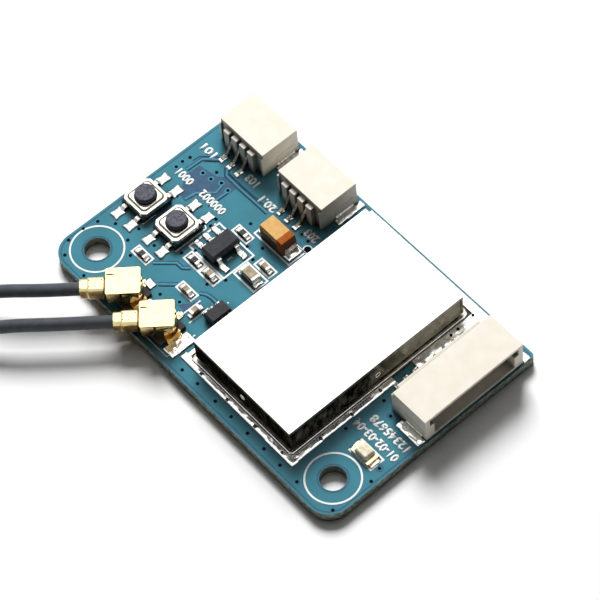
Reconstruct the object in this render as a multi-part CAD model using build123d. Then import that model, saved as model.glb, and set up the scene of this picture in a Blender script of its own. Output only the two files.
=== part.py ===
"""A bare-board radio receiver for a flying model, in millimetres.

The origin is the centre of the board's underside. +X runs along the board towards the channel
connector, +Y towards the two output connectors, and +Z up from the board.
"""
from build123d import *
import os
from math import asin, atan2, cos, degrees, radians, tan

# Circuit board
board_thickness = 1.0
front_corner_radius = 2.0
back_corner_radius = 0.4
mounting_hole_diameter = 2.2
mounting_hole_from_side = 2.7
mounting_hole_from_front = 3.0

# Radio shield: a drawn frame soldered to the board, and a lid that snaps over it
shield_from_left = 16.4
shield_from_front = 2.2
shield_from_back = 1.55
shield_length = 11.6
shield_width = 18.25
shield_height = 2.75
shield_sheet = 0.2
lid_above_board = 0.4
lid_clearance = 0.03
lid_corner_slit = 0.08
frame_foot = 0.38
frame_foot_corner_radius = 0.8
frame_rim = 0.7
frame_corner_radius = 0.3
dimple_height = 1.2
dimple_radius = 0.32
dimple_pit_radius = 0.2
dimple_depth = 0.14
dimple_hole_clearance = 0.05

# Solder that holds the frame down, as strips outside its foot
solder_height = 0.1
solder_strip_width = 0.5
solder_far_pad_length = 1.3
solder_far_pad_width = 1.25
solder_gap_from_front = 12.4
solder_gap_length = 2.05

# Connectors: three of one family, with contacts in one row
contact_pitch = 1.0
channel_contact_count = 8
output_contact_count = 3
connector_end_room = 1.68
connector_depth = 3.75
connector_height = 2.8
connector_side_wall = 0.93
connector_top_wall = 0.28
connector_floor = 0.3
connector_back_wall = 0.8
connector_key_depth = 0.45
connector_key_height = 0.8
connector_key_length = 1.5
comb_fin_width = 0.65
comb_fin_depth = 0.48
comb_fin_height = 2.35
comb_bar_foot = 1.95
comb_lip_width = 0.2
comb_lip_depth = 0.2
contact_width = 0.28
contact_thickness = 0.2
contact_height = 1.25
contact_reach = 2.6
contact_foot_end = 1.6
contact_foot_start = 1.0
contact_bend = 0.2
tab_sheet = 0.2
tab_foot = 0.5
tab_leg = 1.2
tab_length = 1.9
tab_from_back = 1.4
channel_connector_from_right = 0.2
channel_connector_from_back = 1.15
shield_to_channel_connector = 2.75
output_connector_from_back = 0.5
output_connectors_from_left = (4.03, 11.37)

# Board outline: as long and wide as what stands on it needs
board_length = (
    shield_from_left + shield_length + shield_to_channel_connector
    + connector_depth + channel_connector_from_right
)
board_width = shield_from_front + shield_width + shield_from_back

# Room along Y for the small parts, from the shield's front to the output connectors' contacts. Their
# places from the front are for a room of the usual depth and move with it when the room changes.
usual_parts_room = 13.95
parts_room = (
    board_width - output_connector_from_back - connector_depth - contact_foot_end - shield_from_front
)

# Push buttons
buttons_from_left = (2.0, 5.8)
buttons_from_front = (8.9, 9.1)
button_base_length = 2.8
button_base_width = 3.0
button_base_foot_height = 0.45
button_floor = 0.3
button_cover_length = 2.9
button_cover_width = 2.87
button_cover_corner = 0.35
button_cover_sheet = 0.15
button_cover_top = 1.05
button_cover_skirt_end = 0.47
button_cover_clearance = 0.02
button_platform_side = 2.42
button_platform_step = 0.12
button_platform_slope = 0.15
button_platform_corner_radius = 0.45
button_flange_pocket = 2.24
plunger_diameter = 1.78
plunger_top = 1.6
plunger_edge_radius = 0.12
plunger_flange_diameter = 2.08
plunger_flange_thickness = 0.2
plunger_clearance = 0.06
plunger_play = 0.02
dome_diameter = 2.1
dome_sheet = 0.06
dome_play = 0.02
button_recess_clearance = 0.06
button_terminal_spacing = 1.7
button_terminal_width = 0.45
button_terminal_thickness = 0.12
button_terminal_height = 0.22
button_terminal_tip = 2.75
button_terminal_foot_start = 2.0
button_terminal_knee = 1.75
button_terminal_root = 1.2

# Chips with leads
regulator_from_left = 9.83
regulator_from_front = 10.34
regulator_body = (1.6, 2.9, 1.1)
regulator_lead_pitch = 0.95
regulator_lead_width = 0.42
regulator_lead_tip = 1.4
logic_chip_from_left = 14.56
logic_chip_from_front = 6.05
logic_chip_body = (1.25, 2.0, 0.9)
logic_chip_lead_pitch = 0.65
logic_chip_lead_width = 0.24
logic_chip_lead_tip = 1.05
chip_standoff = 0.08
chip_draft_degrees = 12
lead_thickness = 0.12
lead_root = 0.12
lead_knee = 0.14
lead_slope = 0.12

# Tantalum capacitor
tantalum_from_left = 12.38
tantalum_from_front = 14.35
tantalum_length = 2.85
tantalum_width = 1.55
tantalum_height = 1.6
tantalum_standoff = 0.1
tantalum_draft_degrees = 4
tantalum_terminal_width = 1.2
tantalum_terminal_sheet = 0.1
tantalum_terminal_foot = 0.8
tantalum_terminal_height = 0.75

# Small passive parts, each as length, width and height
small_capacitor = (1.0, 0.5, 0.5)
large_capacitor = (1.6, 0.85, 0.8)
small_resistor = (1.0, 0.5, 0.35)
end_cap_length = 0.25
end_cap_sheet = 0.03
large_capacitor_place = (13.5, 10.38)
small_capacitor_places = ((11.1, 8.05), (10.95, 5.73), (13.68, 11.82))
turned_capacitor_place = (12.93, 4.95)
small_resistor_places = ((5.73, 5.35), (9.2, 8.05), (9.9, 12.65))

# Indicator LED
led_from_right = 2.6
led_from_front = 6.24
led_length = 2.0
led_width = 1.25
led_substrate_height = 0.3
led_terminal_length = 0.3
led_lens_length = 1.38
led_lens_width = 1.15
led_lens_height = 0.5
led_lens_draft_degrees = 8

# Chips that the shield hides, each as length, width and height
transceiver_body = (4.0, 4.0, 0.85)
controller_body = (5.0, 5.0, 0.85)
antenna_switch_body = (1.25, 2.0, 0.7)
crystal_body = (2.5, 3.2, 0.4)
crystal_lid = (2.2, 2.9, 0.3)
hidden_capacitor_count = 4
pad_recess = 0.05

# Coax receptacles and the plugs that snap onto them
receptacles_from_left = (8.0, 12.3)
receptacles_from_front = (2.12, 2.13)
receptacle_base_side = 2.6
receptacle_base_height = 0.35
receptacle_barrel_diameter = 2.0
receptacle_barrel_wall = 0.2
receptacle_height = 1.25
receptacle_leg_width = 1.4
receptacle_leg_sheet = 0.1
receptacle_leg_tip = 1.75
receptacle_pin_diameter = 0.5
receptacle_pin_top = 1.05
receptacle_tail_width = 0.6
receptacle_tail_thickness = 0.1
receptacle_tail_tip = 1.85
plug_direction_degrees = 230
plug_ring_clearance = 0.02
plug_ring_wall = 0.22
plug_ring_foot = 0.8
plug_ring_slit = 0.25
plug_head_back = 1.12
plug_head_front = 1.72
plug_head_width = 2.5
plug_head_top = 2.25
plug_sheet = 0.2
plug_head_corner_radius = 0.18
plug_flap_start = 0.55
plug_flap_end = 1.66
plug_flap_foot = 1.4
plug_mark_length = 0.5
plug_mark_width = 0.08
plug_mark_depth = 0.06
braid_crimp_end = 2.7
braid_crimp_width = 1.1
braid_crimp_height = 1.1
jacket_crimp_start = 2.8
jacket_crimp_end = 3.85
jacket_crimp_width = 1.32
jacket_crimp_height = 1.4
crimp_link_width = 0.8
crimp_link_height = 0.8
crimp_corner_radius = 0.35
plug_insulator_hub_diameter = 1.5
plug_insulator_hub_foot = 0.62
plug_insulator_gap = 0.05
plug_contact_wall = 0.14
plug_contact_clearance = 0.02
plug_contact_foot = 0.5
plug_contact_top = 1.7

# Antenna leads, with the rest of each one laid as a flat coil on the ground
lead_diameter = 1.13
lead_height = 2.3
arc_share_of_run = 0.45
coil_outer_turn_radius = 6.215
coil_outside_radius = 6.78
coil_inside_radius = 4.52
coil_edge_cut = 0.3
coil_stub = 4.0
coil_stub_ease = 0.01
tip_diameter = 0.68
tip_turn_radius = 5.65
tip_length = 31.0
tip_gap = 0.02
jacket_length = 62.0
jacket_top_sweep_degrees = 25
jacket_top_sink = 0.1
ground = lead_diameter / 2
lead_1_route = (
    (-13.753, -14.127, lead_height),
    (-16.522, -17.014, lead_height),
    (-19.916, -20.408, 0.62),
    (-21.657, -22.060, ground),
)
lead_2_route = (
    (-10.096, -14.883, lead_height),
    (-14.021, -19.288, lead_height),
    (-17.138, -22.938, 0.62),
    (-18.648, -24.803, ground),
)


def on_board(from_left, from_front, height=0.0):
    """A place on the board's top, measured from its left and front edges."""
    return Pos(-board_length / 2 + from_left, -board_width / 2 + from_front, board_thickness + height)


def among_parts(from_left, from_front):
    """A small part's place on the board's top, which keeps its share of the room along Y."""
    share = (from_front - shield_from_front) / usual_parts_room
    return on_board(from_left, shield_from_front + share * parts_room)


def spread(room, sizes):
    """The middles of pieces that share a room evenly, measured from the middle of the room."""
    gap = (room - sum(sizes)) / (len(sizes) + 1)
    reached = -room / 2
    middles = []
    for size in sizes:
        middles.append(reached + gap + size / 2)
        reached += gap + size
    return middles


def block(length, width, height, bottom=0.0):
    """A block centred on the axis, standing at the given height."""
    return Pos(0, 0, bottom) * Box(length, width, height, align=(Align.CENTER, Align.CENTER, Align.MIN))


def span(x_range, y_range, z_range):
    """A block between the given limits."""
    size = (x_range[1] - x_range[0], y_range[1] - y_range[0], z_range[1] - z_range[0])
    corner = Pos(x_range[0], y_range[0], z_range[0])
    return corner * Box(*size, align=(Align.MIN, Align.MIN, Align.MIN))


def disc(diameter, bottom, top):
    """A round column on the axis between two heights."""
    column = Cylinder(diameter / 2, top - bottom, align=(Align.CENTER, Align.CENTER, Align.MIN))
    return Pos(0, 0, bottom) * column


def bent_strip(points, thickness, width, bend=0.0):
    """A folded metal strip: the line of its lower side from root to tip in YZ, its width along X."""
    if bend:
        line = FilletPolyline(*points, radius=bend)
    else:
        line = Polyline(*points)
    outline = make_face(offset(line, thickness, side=Side.LEFT, kind=Kind.INTERSECTION).edges())
    return extrude(Plane.YZ * outline, width / 2, both=True)


def placed(place, pieces):
    """A solid, or each of the separate solids that share one name, in its place."""
    if isinstance(pieces, list):
        return [place * piece for piece in pieces]
    return place * pieces


def circuit_board():
    """The glass-fibre board with its two mounting holes."""
    body = block(board_length, board_width, board_thickness)
    uprights = body.edges().filter_by(Axis.Z)
    body = fillet(uprights.group_by(Axis.Y)[0], front_corner_radius)
    body = fillet(body.edges().filter_by(Axis.Z).group_by(Axis.Y)[-1], back_corner_radius)
    hole = Cylinder(mounting_hole_diameter / 2, 4 * board_thickness)
    for from_left in (mounting_hole_from_side, board_length - mounting_hole_from_side):
        body -= on_board(from_left, mounting_hole_from_front) * hole
    return body


def shield_place():
    """The centre of the shield on the board's top."""
    return on_board(shield_from_left + shield_length / 2, shield_from_front + shield_width / 2)


def dimple_places():
    """The middle of each shield wall's outer face, with +Z of each place pointing inwards."""
    half_length = shield_length / 2
    half_width = shield_width / 2
    return (
        Pos(0, -half_width, dimple_height) * Rot(-90, 0, 0),
        Pos(0, half_width, dimple_height) * Rot(90, 0, 0),
        Pos(-half_length, 0, dimple_height) * Rot(0, 90, 0),
        Pos(half_length, 0, dimple_height) * Rot(0, -90, 0),
    )


def shield_lid():
    """The folded lid: a top plate and four walls with open corners and inward dimples."""
    shell = block(shield_length, shield_width, shield_height - lid_above_board, lid_above_board)
    inner_length = shield_length - 2 * shield_sheet
    inner_width = shield_width - 2 * shield_sheet
    shell -= block(inner_length, inner_width, shield_height - shield_sheet)
    slit = Box(2 * shield_sheet, lid_corner_slit, shield_height - shield_sheet - lid_above_board)
    slit_height = (shield_height - shield_sheet + lid_above_board) / 2
    for side_x in (-1, 1):
        for side_y in (-1, 1):
            x = side_x * shield_length / 2
            y = side_y * (inner_width - lid_corner_slit) / 2
            shell -= Pos(x, y, slit_height) * slit
    boss_end = shield_sheet + dimple_depth
    for place in dimple_places():
        shell += place * Pos(0, 0, shield_sheet) * disc(2 * dimple_radius, 0, dimple_depth)
        shell -= place * disc(2 * dimple_pit_radius, 0, boss_end - shield_sheet)
    return shield_place() * shell


def frame_outline(grow):
    """The outline of the frame's wall, grown outwards or shrunk inwards."""
    inset = shield_sheet + lid_clearance
    length = shield_length - 2 * inset + 2 * grow
    width = shield_width - 2 * inset + 2 * grow
    return RectangleRounded(length, width, max(frame_corner_radius + grow, 0.1))


def foot_outline():
    """The outer edge of the frame's foot."""
    length = shield_length + 2 * frame_foot
    width = shield_width + 2 * frame_foot
    return RectangleRounded(length, width, frame_foot_corner_radius)


def shield_frame():
    """The drawn frame: a foot on the board, an upright wall and a rim under the lid."""
    top = shield_height - shield_sheet
    foot = extrude(foot_outline() - frame_outline(-shield_sheet), shield_sheet)
    wall = extrude(frame_outline(0) - frame_outline(-shield_sheet), top)
    rim_outline = frame_outline(0) - frame_outline(-frame_rim)
    rim = Pos(0, 0, top - shield_sheet) * extrude(rim_outline, shield_sheet)
    frame = foot + wall + rim
    for place in dimple_places():
        frame -= place * disc(2 * (dimple_radius + dimple_hole_clearance), 0, 3 * shield_sheet)
    return shield_place() * frame


def shield_solder():
    """Flat strips of solder along the frame's foot, open in the middle of the right side."""
    length = shield_length + 2 * (frame_foot + solder_strip_width)
    width = shield_width + 2 * (frame_foot + solder_strip_width)
    outline = Rectangle(length, width)
    far_corner = Pos(length / 2, width / 2)
    pad = Rectangle(solder_far_pad_length, solder_far_pad_width, align=(Align.CENTER, Align.MAX))
    outline += far_corner * pad
    gap_start = solder_gap_from_front - shield_from_front - shield_width / 2
    gap = Pos(length / 2, gap_start) * Rectangle(
        4 * solder_strip_width, solder_gap_length, align=(Align.CENTER, Align.MIN)
    )
    strips = extrude(outline - gap - foot_outline(), solder_height)
    return shield_place() * strips


def connector(contact_count, joined_comb=False):
    """A side-entry connector that opens towards +Y, from the middle of its back at the board.

    A bar joins the tips of the comb's fins where joined_comb is set, as on the long connector.
    """
    width = (contact_count - 1) * contact_pitch + 2 * connector_end_room
    half_width = width / 2
    housing = span((-half_width, half_width), (0, connector_depth), (0, connector_height))
    cavity_half = half_width - connector_side_wall
    cavity_top = connector_height - connector_top_wall
    housing -= span(
        (-cavity_half, cavity_half), (connector_back_wall, connector_depth), (connector_floor, cavity_top)
    )
    key_half = cavity_half + connector_key_depth
    housing -= span(
        (-key_half, key_half),
        (connector_depth - connector_key_length, connector_depth),
        (cavity_top - connector_key_height, cavity_top),
    )
    fin = span((-comb_fin_width / 2, comb_fin_width / 2), (-comb_fin_depth, 0), (0, comb_fin_height))
    for index in range(contact_count + 1):
        housing += Pos((index - contact_count / 2) * contact_pitch, 0, 0) * fin
    if joined_comb:
        bar_half = (contact_count * contact_pitch + comb_fin_width) / 2
        housing += span((-bar_half, bar_half), (-comb_fin_depth, 0), (comb_bar_foot, comb_fin_height))
    lip = span((-comb_lip_width, 0), (-comb_lip_depth, 0), (0, comb_fin_height))
    housing += Pos(half_width, 0, 0) * lip
    housing += Pos(comb_lip_width - half_width, 0, 0) * lip

    contact = bent_strip(
        (
            (-contact_foot_end, 0),
            (-contact_foot_start, 0),
            (-contact_bend, contact_height),
            (contact_reach, contact_height),
        ),
        contact_thickness,
        contact_width,
    )
    first = -(contact_count - 1) * contact_pitch / 2
    contacts = [Pos(first + index * contact_pitch, 0, 0) * contact for index in range(contact_count)]

    leg = span((half_width - tab_sheet, half_width), (0, tab_length), (0, tab_leg))
    foot = span((half_width, half_width + tab_foot), (0, tab_length), (0, tab_sheet))
    tab = Pos(0, tab_from_back, 0) * (leg + foot)
    tabs = [tab, mirror(tab, about=Plane.YZ)]
    for piece in contacts + tabs:
        housing -= piece
    return {"housing": housing, "contacts": contacts, "tabs": tabs}


def cover_outline(shrink=0.0):
    """The button cover's outline with its cut corners."""
    outline = Rectangle(button_cover_length - 2 * shrink, button_cover_width - 2 * shrink)
    return chamfer(outline.vertices(), button_cover_corner)


def platform_outline(shrink):
    """The outline of the raised middle of the button's cover."""
    side = button_platform_side - 2 * shrink
    return RectangleRounded(side, side, button_platform_corner_radius - shrink)


def push_button():
    """A flat push button: base, spring dome, plunger, pressed cover and four terminals."""
    plate_bottom = button_cover_top - button_cover_sheet
    flange_top = plate_bottom - plunger_play
    flange_bottom = flange_top - plunger_flange_thickness
    dome_rise = flange_bottom - dome_play - button_floor - dome_sheet
    rim_bottom = plate_bottom - button_platform_step
    core = cover_outline(button_cover_sheet + button_cover_clearance)
    base = block(button_base_length, button_base_width, button_base_foot_height)
    base += extrude(core, rim_bottom)
    recess_diameter = plunger_flange_diameter + 2 * (button_recess_clearance + plunger_clearance)
    base -= disc(recess_diameter, button_floor, 2 * plunger_top)

    shell_radius = ((dome_diameter / 2) ** 2 + dome_rise**2) / (2 * dome_rise)
    edge_angle = asin(dome_diameter / 2 / shell_radius)
    centre = button_floor + dome_sheet + dome_rise - shell_radius
    outer = Pos(0, 0, centre) * Sphere(shell_radius)
    inner = Pos(0, 0, centre) * Sphere(shell_radius - dome_sheet)
    dome_bottom = button_floor + dome_sheet * (1 - cos(edge_angle))
    dome = (outer - inner) & disc(dome_diameter, dome_bottom, plunger_top)

    stem = disc(plunger_diameter, flange_bottom, plunger_top)
    stem = fillet(stem.edges().group_by(Axis.Z)[-1], plunger_edge_radius)
    plunger = stem + disc(plunger_flange_diameter, flange_bottom, flange_top)

    cover = extrude(cover_outline() - cover_outline(button_cover_sheet), rim_bottom)
    cover -= block(2 * button_cover_length, 2 * button_cover_width, button_cover_skirt_end)
    cover += Pos(0, 0, rim_bottom) * extrude(cover_outline(), button_cover_sheet)
    platform_top = Pos(0, 0, button_platform_step) * platform_outline(button_platform_slope)
    platform = loft((platform_outline(0), platform_top), ruled=True)
    cover += Pos(0, 0, rim_bottom + button_cover_sheet) * platform
    cover -= disc(button_flange_pocket, 0, plate_bottom)
    cover -= disc(plunger_diameter + 2 * plunger_clearance, 0, 2 * plunger_top)

    terminal = bent_strip(
        (
            (button_terminal_root, button_terminal_height),
            (button_terminal_knee, button_terminal_height),
            (button_terminal_foot_start, 0),
            (button_terminal_tip, 0),
        ),
        button_terminal_thickness,
        button_terminal_width,
    )
    terminals = []
    for turn in (0, 180):
        for side in (-1, 1):
            terminals.append(Rot(0, 0, turn) * Pos(side * button_terminal_spacing / 2, 0, 0) * terminal)
    for piece in terminals:
        base -= piece
    return {
        "base": base,
        "dome": dome,
        "plunger": plunger,
        "cover": cover,
        "terminals": terminals,
    }


def leaded_chip(body_size, lead_width, lead_tip, right_leads, left_leads):
    """A moulded chip with leads on its +X and -X sides, at the given places along Y."""
    length, width, height = body_size
    middle = (chip_standoff + height) / 2
    outline = Rectangle(length, width)
    half_height = height - middle
    body = Pos(0, 0, middle) * extrude(outline, half_height, taper=chip_draft_degrees)
    body += Pos(0, 0, middle) * Rot(180, 0, 0) * extrude(outline, half_height, taper=chip_draft_degrees)
    knee = length / 2 + lead_knee
    lead = Rot(0, 0, -90) * bent_strip(
        (
            (length / 2 - lead_root, middle - lead_thickness / 2),
            (knee, middle - lead_thickness / 2),
            (knee + lead_slope, 0),
            (lead_tip, 0),
        ),
        lead_thickness,
        lead_width,
    )
    leads = [Pos(0, y, 0) * lead for y in right_leads]
    leads += [Pos(0, y, 0) * Rot(0, 0, 180) * lead for y in left_leads]
    for piece in leads:
        body -= piece
    return {"body": body, "leads": leads}


def tantalum_capacitor():
    """A moulded capacitor with folded terminals at its two ends."""
    middle = (tantalum_standoff + tantalum_height) / 2
    outline = Rectangle(tantalum_length, tantalum_width)
    body = block(tantalum_length, tantalum_width, middle - tantalum_standoff, tantalum_standoff)
    body += Pos(0, 0, middle) * extrude(outline, tantalum_height - middle, taper=tantalum_draft_degrees)
    end = tantalum_length / 2
    half_width = tantalum_terminal_width / 2
    foot = span((tantalum_terminal_foot, end), (-half_width, half_width), (0, tantalum_terminal_sheet))
    upright = span(
        (end, end + tantalum_terminal_sheet), (-half_width, half_width), (0, tantalum_terminal_height)
    )
    terminal = foot + upright
    return {"body": body, "terminals": [terminal, Rot(0, 0, 180) * terminal]}


def capacitor(size):
    """A ceramic block with five-sided plated ends."""
    length, width, height = size
    core = (length - 2 * end_cap_sheet, width - 2 * end_cap_sheet, height - 2 * end_cap_sheet)
    body = block(*core, end_cap_sheet)
    cap = Pos(length / 2 - end_cap_length / 2, 0, 0) * block(end_cap_length, width, height)
    cap -= body
    return body, [cap, Rot(0, 0, 180) * cap]


def resistor(size, cap_length=end_cap_length):
    """A flat ceramic plate with plating folded over its two ends."""
    length, width, height = size
    body = block(length - 2 * end_cap_sheet, width, height - 2 * end_cap_sheet, end_cap_sheet)
    cap = Pos(length / 2 - cap_length / 2, 0, 0) * block(cap_length, width, height)
    cap -= body
    return body, [cap, Rot(0, 0, 180) * cap]


def indicator():
    """The LED: a plated substrate under a clear moulded lens."""
    substrate, terminals = resistor((led_length, led_width, led_substrate_height), led_terminal_length)
    bottom = led_substrate_height - end_cap_sheet
    outline = Rectangle(led_lens_length, led_lens_width)
    lens = Pos(0, 0, bottom) * extrude(outline, led_lens_height, taper=led_lens_draft_degrees)
    return {"substrate": substrate, "terminals": terminals, "lens": lens}


def flat_chip(size):
    """A leadless chip that sits on its pads."""
    length, width, height = size
    return block(length, width, height - pad_recess, pad_recess) + block(
        length - 2 * chip_standoff, width - 2 * chip_standoff, pad_recess
    )


def crystal():
    """A ceramic crystal case with its welded lid."""
    case = block(*crystal_body)
    return case + block(*crystal_lid, crystal_body[2])


def receptacle():
    """A surface-mount coax receptacle: insulating base, ground shell with two legs, centre pin."""
    half_side = receptacle_base_side / 2
    barrel_inner = receptacle_barrel_diameter - 2 * receptacle_barrel_wall
    leg = Rot(0, 0, -90) * bent_strip(
        (
            (barrel_inner / 2, receptacle_base_height),
            (half_side, receptacle_base_height),
            (half_side, 0),
            (receptacle_leg_tip, 0),
        ),
        receptacle_leg_sheet,
        receptacle_leg_width,
    )
    shell = leg + Rot(0, 0, 180) * leg
    shell += disc(receptacle_barrel_diameter, receptacle_base_height, receptacle_height)
    shell -= disc(barrel_inner, 0, 2 * receptacle_height)
    pin = disc(receptacle_pin_diameter, 0, receptacle_pin_top)
    pin += span(
        (-receptacle_tail_width / 2, receptacle_tail_width / 2),
        (0, receptacle_tail_tip),
        (0, receptacle_tail_thickness),
    )
    base = block(receptacle_base_side, receptacle_base_side, receptacle_base_height)
    base -= pin
    base -= shell
    return {"base": base, "shell": shell, "pin": pin}


def crimp(start, end, width, height):
    """A closed crimp round the lead, along +X, centred on the lead's axis."""
    section = Plane.YZ * RectangleRounded(width, height, crimp_corner_radius)
    return Pos(start, 0, lead_height - board_thickness) * extrude(section, end - start)


def coax_plug():
    """A right-angle coax plug whose lead leaves along +X, seen from the receptacle's axis."""
    ring_inner = receptacle_barrel_diameter + 2 * plug_ring_clearance
    ring_outer = ring_inner + 2 * plug_ring_wall
    plate_bottom = plug_head_top - plug_sheet
    ring = disc(ring_outer, plug_ring_foot, plate_bottom) - disc(ring_inner, 0, plate_bottom)
    slit = span((-ring_outer, 0), (-plug_ring_slit / 2, plug_ring_slit / 2), (0, plate_bottom))
    ring -= slit
    half_width = plug_head_width / 2
    plate = span(
        (-plug_head_back, plug_head_front), (-half_width, half_width), (plate_bottom, plug_head_top)
    )
    plate = fillet(plate.edges().filter_by(Axis.Z), plug_head_corner_radius)
    mark = Box(plug_mark_length, plug_mark_width, 2 * plug_mark_depth)
    plate -= Pos(plug_flap_end - plug_mark_length, -half_width / 2, plug_head_top) * mark
    flap = span(
        (plug_flap_start, plug_flap_end),
        (half_width - plug_sheet, half_width),
        (plug_flap_foot, plate_bottom),
    )
    shell = ring + plate + flap + mirror(flap, about=Plane.XZ)
    axis_height = lead_height - board_thickness
    link = Pos(0, 0, axis_height) * span(
        (plug_head_front - plug_sheet, jacket_crimp_end),
        (-crimp_link_width / 2, crimp_link_width / 2),
        (-crimp_link_height / 2, crimp_link_height / 2),
    )
    shell += link
    riser = span(
        (plug_head_front - plug_sheet, plug_head_front),
        (-crimp_link_width / 2, crimp_link_width / 2),
        (axis_height, plate_bottom),
    )
    shell += riser
    shell += crimp(plug_head_front, braid_crimp_end, braid_crimp_width, braid_crimp_height)
    shell += crimp(jacket_crimp_start, jacket_crimp_end, jacket_crimp_width, jacket_crimp_height)

    insulator = disc(ring_inner, receptacle_height + plug_insulator_gap, plate_bottom)
    hub_foot = plug_insulator_hub_foot
    insulator += disc(plug_insulator_hub_diameter, hub_foot, plate_bottom)
    contact_inner = receptacle_pin_diameter + 2 * plug_contact_clearance
    contact = disc(contact_inner + 2 * plug_contact_wall, plug_contact_foot, plug_contact_top)
    contact -= disc(contact_inner, 0, plug_contact_top - plug_contact_wall)
    insulator -= contact
    insulator -= disc(contact_inner, 0, plug_contact_top - plug_contact_wall)
    return {"shell": shell, "insulator": insulator, "contact": contact}


def cord_path(route):
    """Straight runs joined by tangent arcs, each as large as its two runs allow."""
    points = [Vector(*point) for point in route]
    radii = []
    for before, here, after in zip(points, points[1:], points[2:]):
        turn = (here - before).get_angle(after - here)
        shorter = min((here - before).length, (after - here).length)
        radii.append(arc_share_of_run * shorter / tan(radians(turn / 2)))
    print("cord radii", [round(radius, 1) for radius in radii])
    return FilletPolyline(*points, radius=radii)


def tube(path, diameter):
    """A round cord along a path."""
    start = path @ 0
    section = Plane(origin=start, z_dir=path % 0) * Circle(diameter / 2)
    swept = sweep(section, path=path)
    print("cord volume over section times length", swept.volume / (section.area * path.length))
    return swept


def top_arc(diameter, height, start_degrees, sweep_degrees):
    """A round arc above the coil's middle turn, from its start and by its sweep about +Z."""
    section = Plane.XZ * Pos(tip_turn_radius, 0) * Circle(diameter / 2)
    arc = revolve(section, Axis.Z, revolution_arc=abs(sweep_degrees))
    return Pos(0, 0, height) * Rot(0, 0, min(start_degrees, start_degrees + sweep_degrees)) * arc


def antenna_lead(exit_place, route, side):
    """A lead's free stretch, its flat coil on the ground, and its bare tip lying on that coil.

    The coil lies to the left of the lead's last run where side is 1, to the right where it is -1.
    """
    path = cord_path((exit_place, *route))
    lead = tube(path, lead_diameter)
    end = Vector(*route[-1])
    run = Vector(route[-1][0] - route[-2][0], route[-1][1] - route[-2][1], 0).normalized()
    sideways = Vector(-run.Y, run.X, 0) * side
    centre = end + run * coil_stub + sideways * coil_outer_turn_radius
    place = Pos(centre.X, centre.Y, 0)

    ring_width = coil_outside_radius - coil_inside_radius
    outline = Rectangle(ring_width, lead_diameter)
    outline = chamfer(outline.vertices(), coil_edge_cut)
    section = Pos((coil_outside_radius + coil_inside_radius) / 2, lead_diameter / 2) * outline
    stub = extrude(Plane(origin=end, z_dir=run) * Circle(lead_diameter / 2 - coil_stub_ease), coil_stub)
    landing_degrees = degrees(atan2(-sideways.Y, -sideways.X))
    coil_sweep = degrees((jacket_length - path.length - coil_stub) / tip_turn_radius)
    tip_start = landing_degrees + side * coil_sweep
    top_height = lead_diameter + ground - jacket_top_sink
    top = top_arc(lead_diameter, top_height, tip_start, -side * jacket_top_sweep_degrees)
    coil = place * (revolve(Plane.XZ * section, Axis.Z) + top) + stub

    tip_height = lead_diameter + tip_diameter / 2 + tip_gap
    tip_sweep = degrees(tip_length / tip_turn_radius)
    tip = place * top_arc(tip_diameter, tip_height, tip_start, side * tip_sweep)
    return {"lead": lead, "coil": coil, "tip": tip}


def build_all():
    """Every named piece of the receiver."""
    parts = {
        "circuit_board": circuit_board(),
        "shield_frame": shield_frame(),
        "shield_lid": shield_lid(),
        "shield_solder": shield_solder(),
    }
    place_connectors(parts)
    place_buttons(parts)
    place_chips(parts)
    place_passives(parts)
    place_hidden_parts(parts)
    place_coax(parts)
    return parts


def add(parts, name, place, pieces):
    """Names each piece of a sub-assembly and puts it in its place."""
    for piece_name, piece in pieces.items():
        parts[name + "_" + piece_name] = placed(place, piece)


def place_connectors(parts):
    """The channel connector on the right edge and the two output connectors on the back edge."""
    channel_width = (channel_contact_count - 1) * contact_pitch + 2 * connector_end_room
    channel_place = on_board(
        board_length - channel_connector_from_right - connector_depth,
        board_width - channel_connector_from_back - channel_width / 2,
    )
    channel_pieces = connector(channel_contact_count, joined_comb=True)
    add(parts, "channel_connector", channel_place * Rot(0, 0, -90), channel_pieces)
    from_front = board_width - output_connector_from_back - connector_depth
    for number, from_left in enumerate(output_connectors_from_left, start=1):
        place = on_board(from_left, from_front)
        add(parts, f"output_connector_{number}", place, connector(output_contact_count))


def place_buttons(parts):
    """The two push buttons beside the left mounting hole."""
    places = zip(buttons_from_left, buttons_from_front)
    for number, (from_left, from_front) in enumerate(places, start=1):
        add(parts, f"button_{number}", among_parts(from_left, from_front), push_button())


def place_chips(parts):
    """The regulator, the logic chip, the tantalum capacitor and the indicator."""
    pitch = regulator_lead_pitch
    regulator = leaded_chip(
        regulator_body, regulator_lead_width, regulator_lead_tip, (-pitch, pitch), (-pitch, 0, pitch)
    )
    add(parts, "regulator", among_parts(regulator_from_left, regulator_from_front), regulator)
    pitch = logic_chip_lead_pitch
    logic = leaded_chip(
        logic_chip_body, logic_chip_lead_width, logic_chip_lead_tip, (-pitch, 0, pitch), (-pitch, 0, pitch)
    )
    add(parts, "logic_chip", among_parts(logic_chip_from_left, logic_chip_from_front), logic)
    tantalum_place = among_parts(tantalum_from_left, tantalum_from_front)
    add(parts, "tantalum_capacitor", tantalum_place, tantalum_capacitor())
    led_place = among_parts(board_length - led_from_right, led_from_front)
    add(parts, "led", led_place, indicator())


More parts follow.
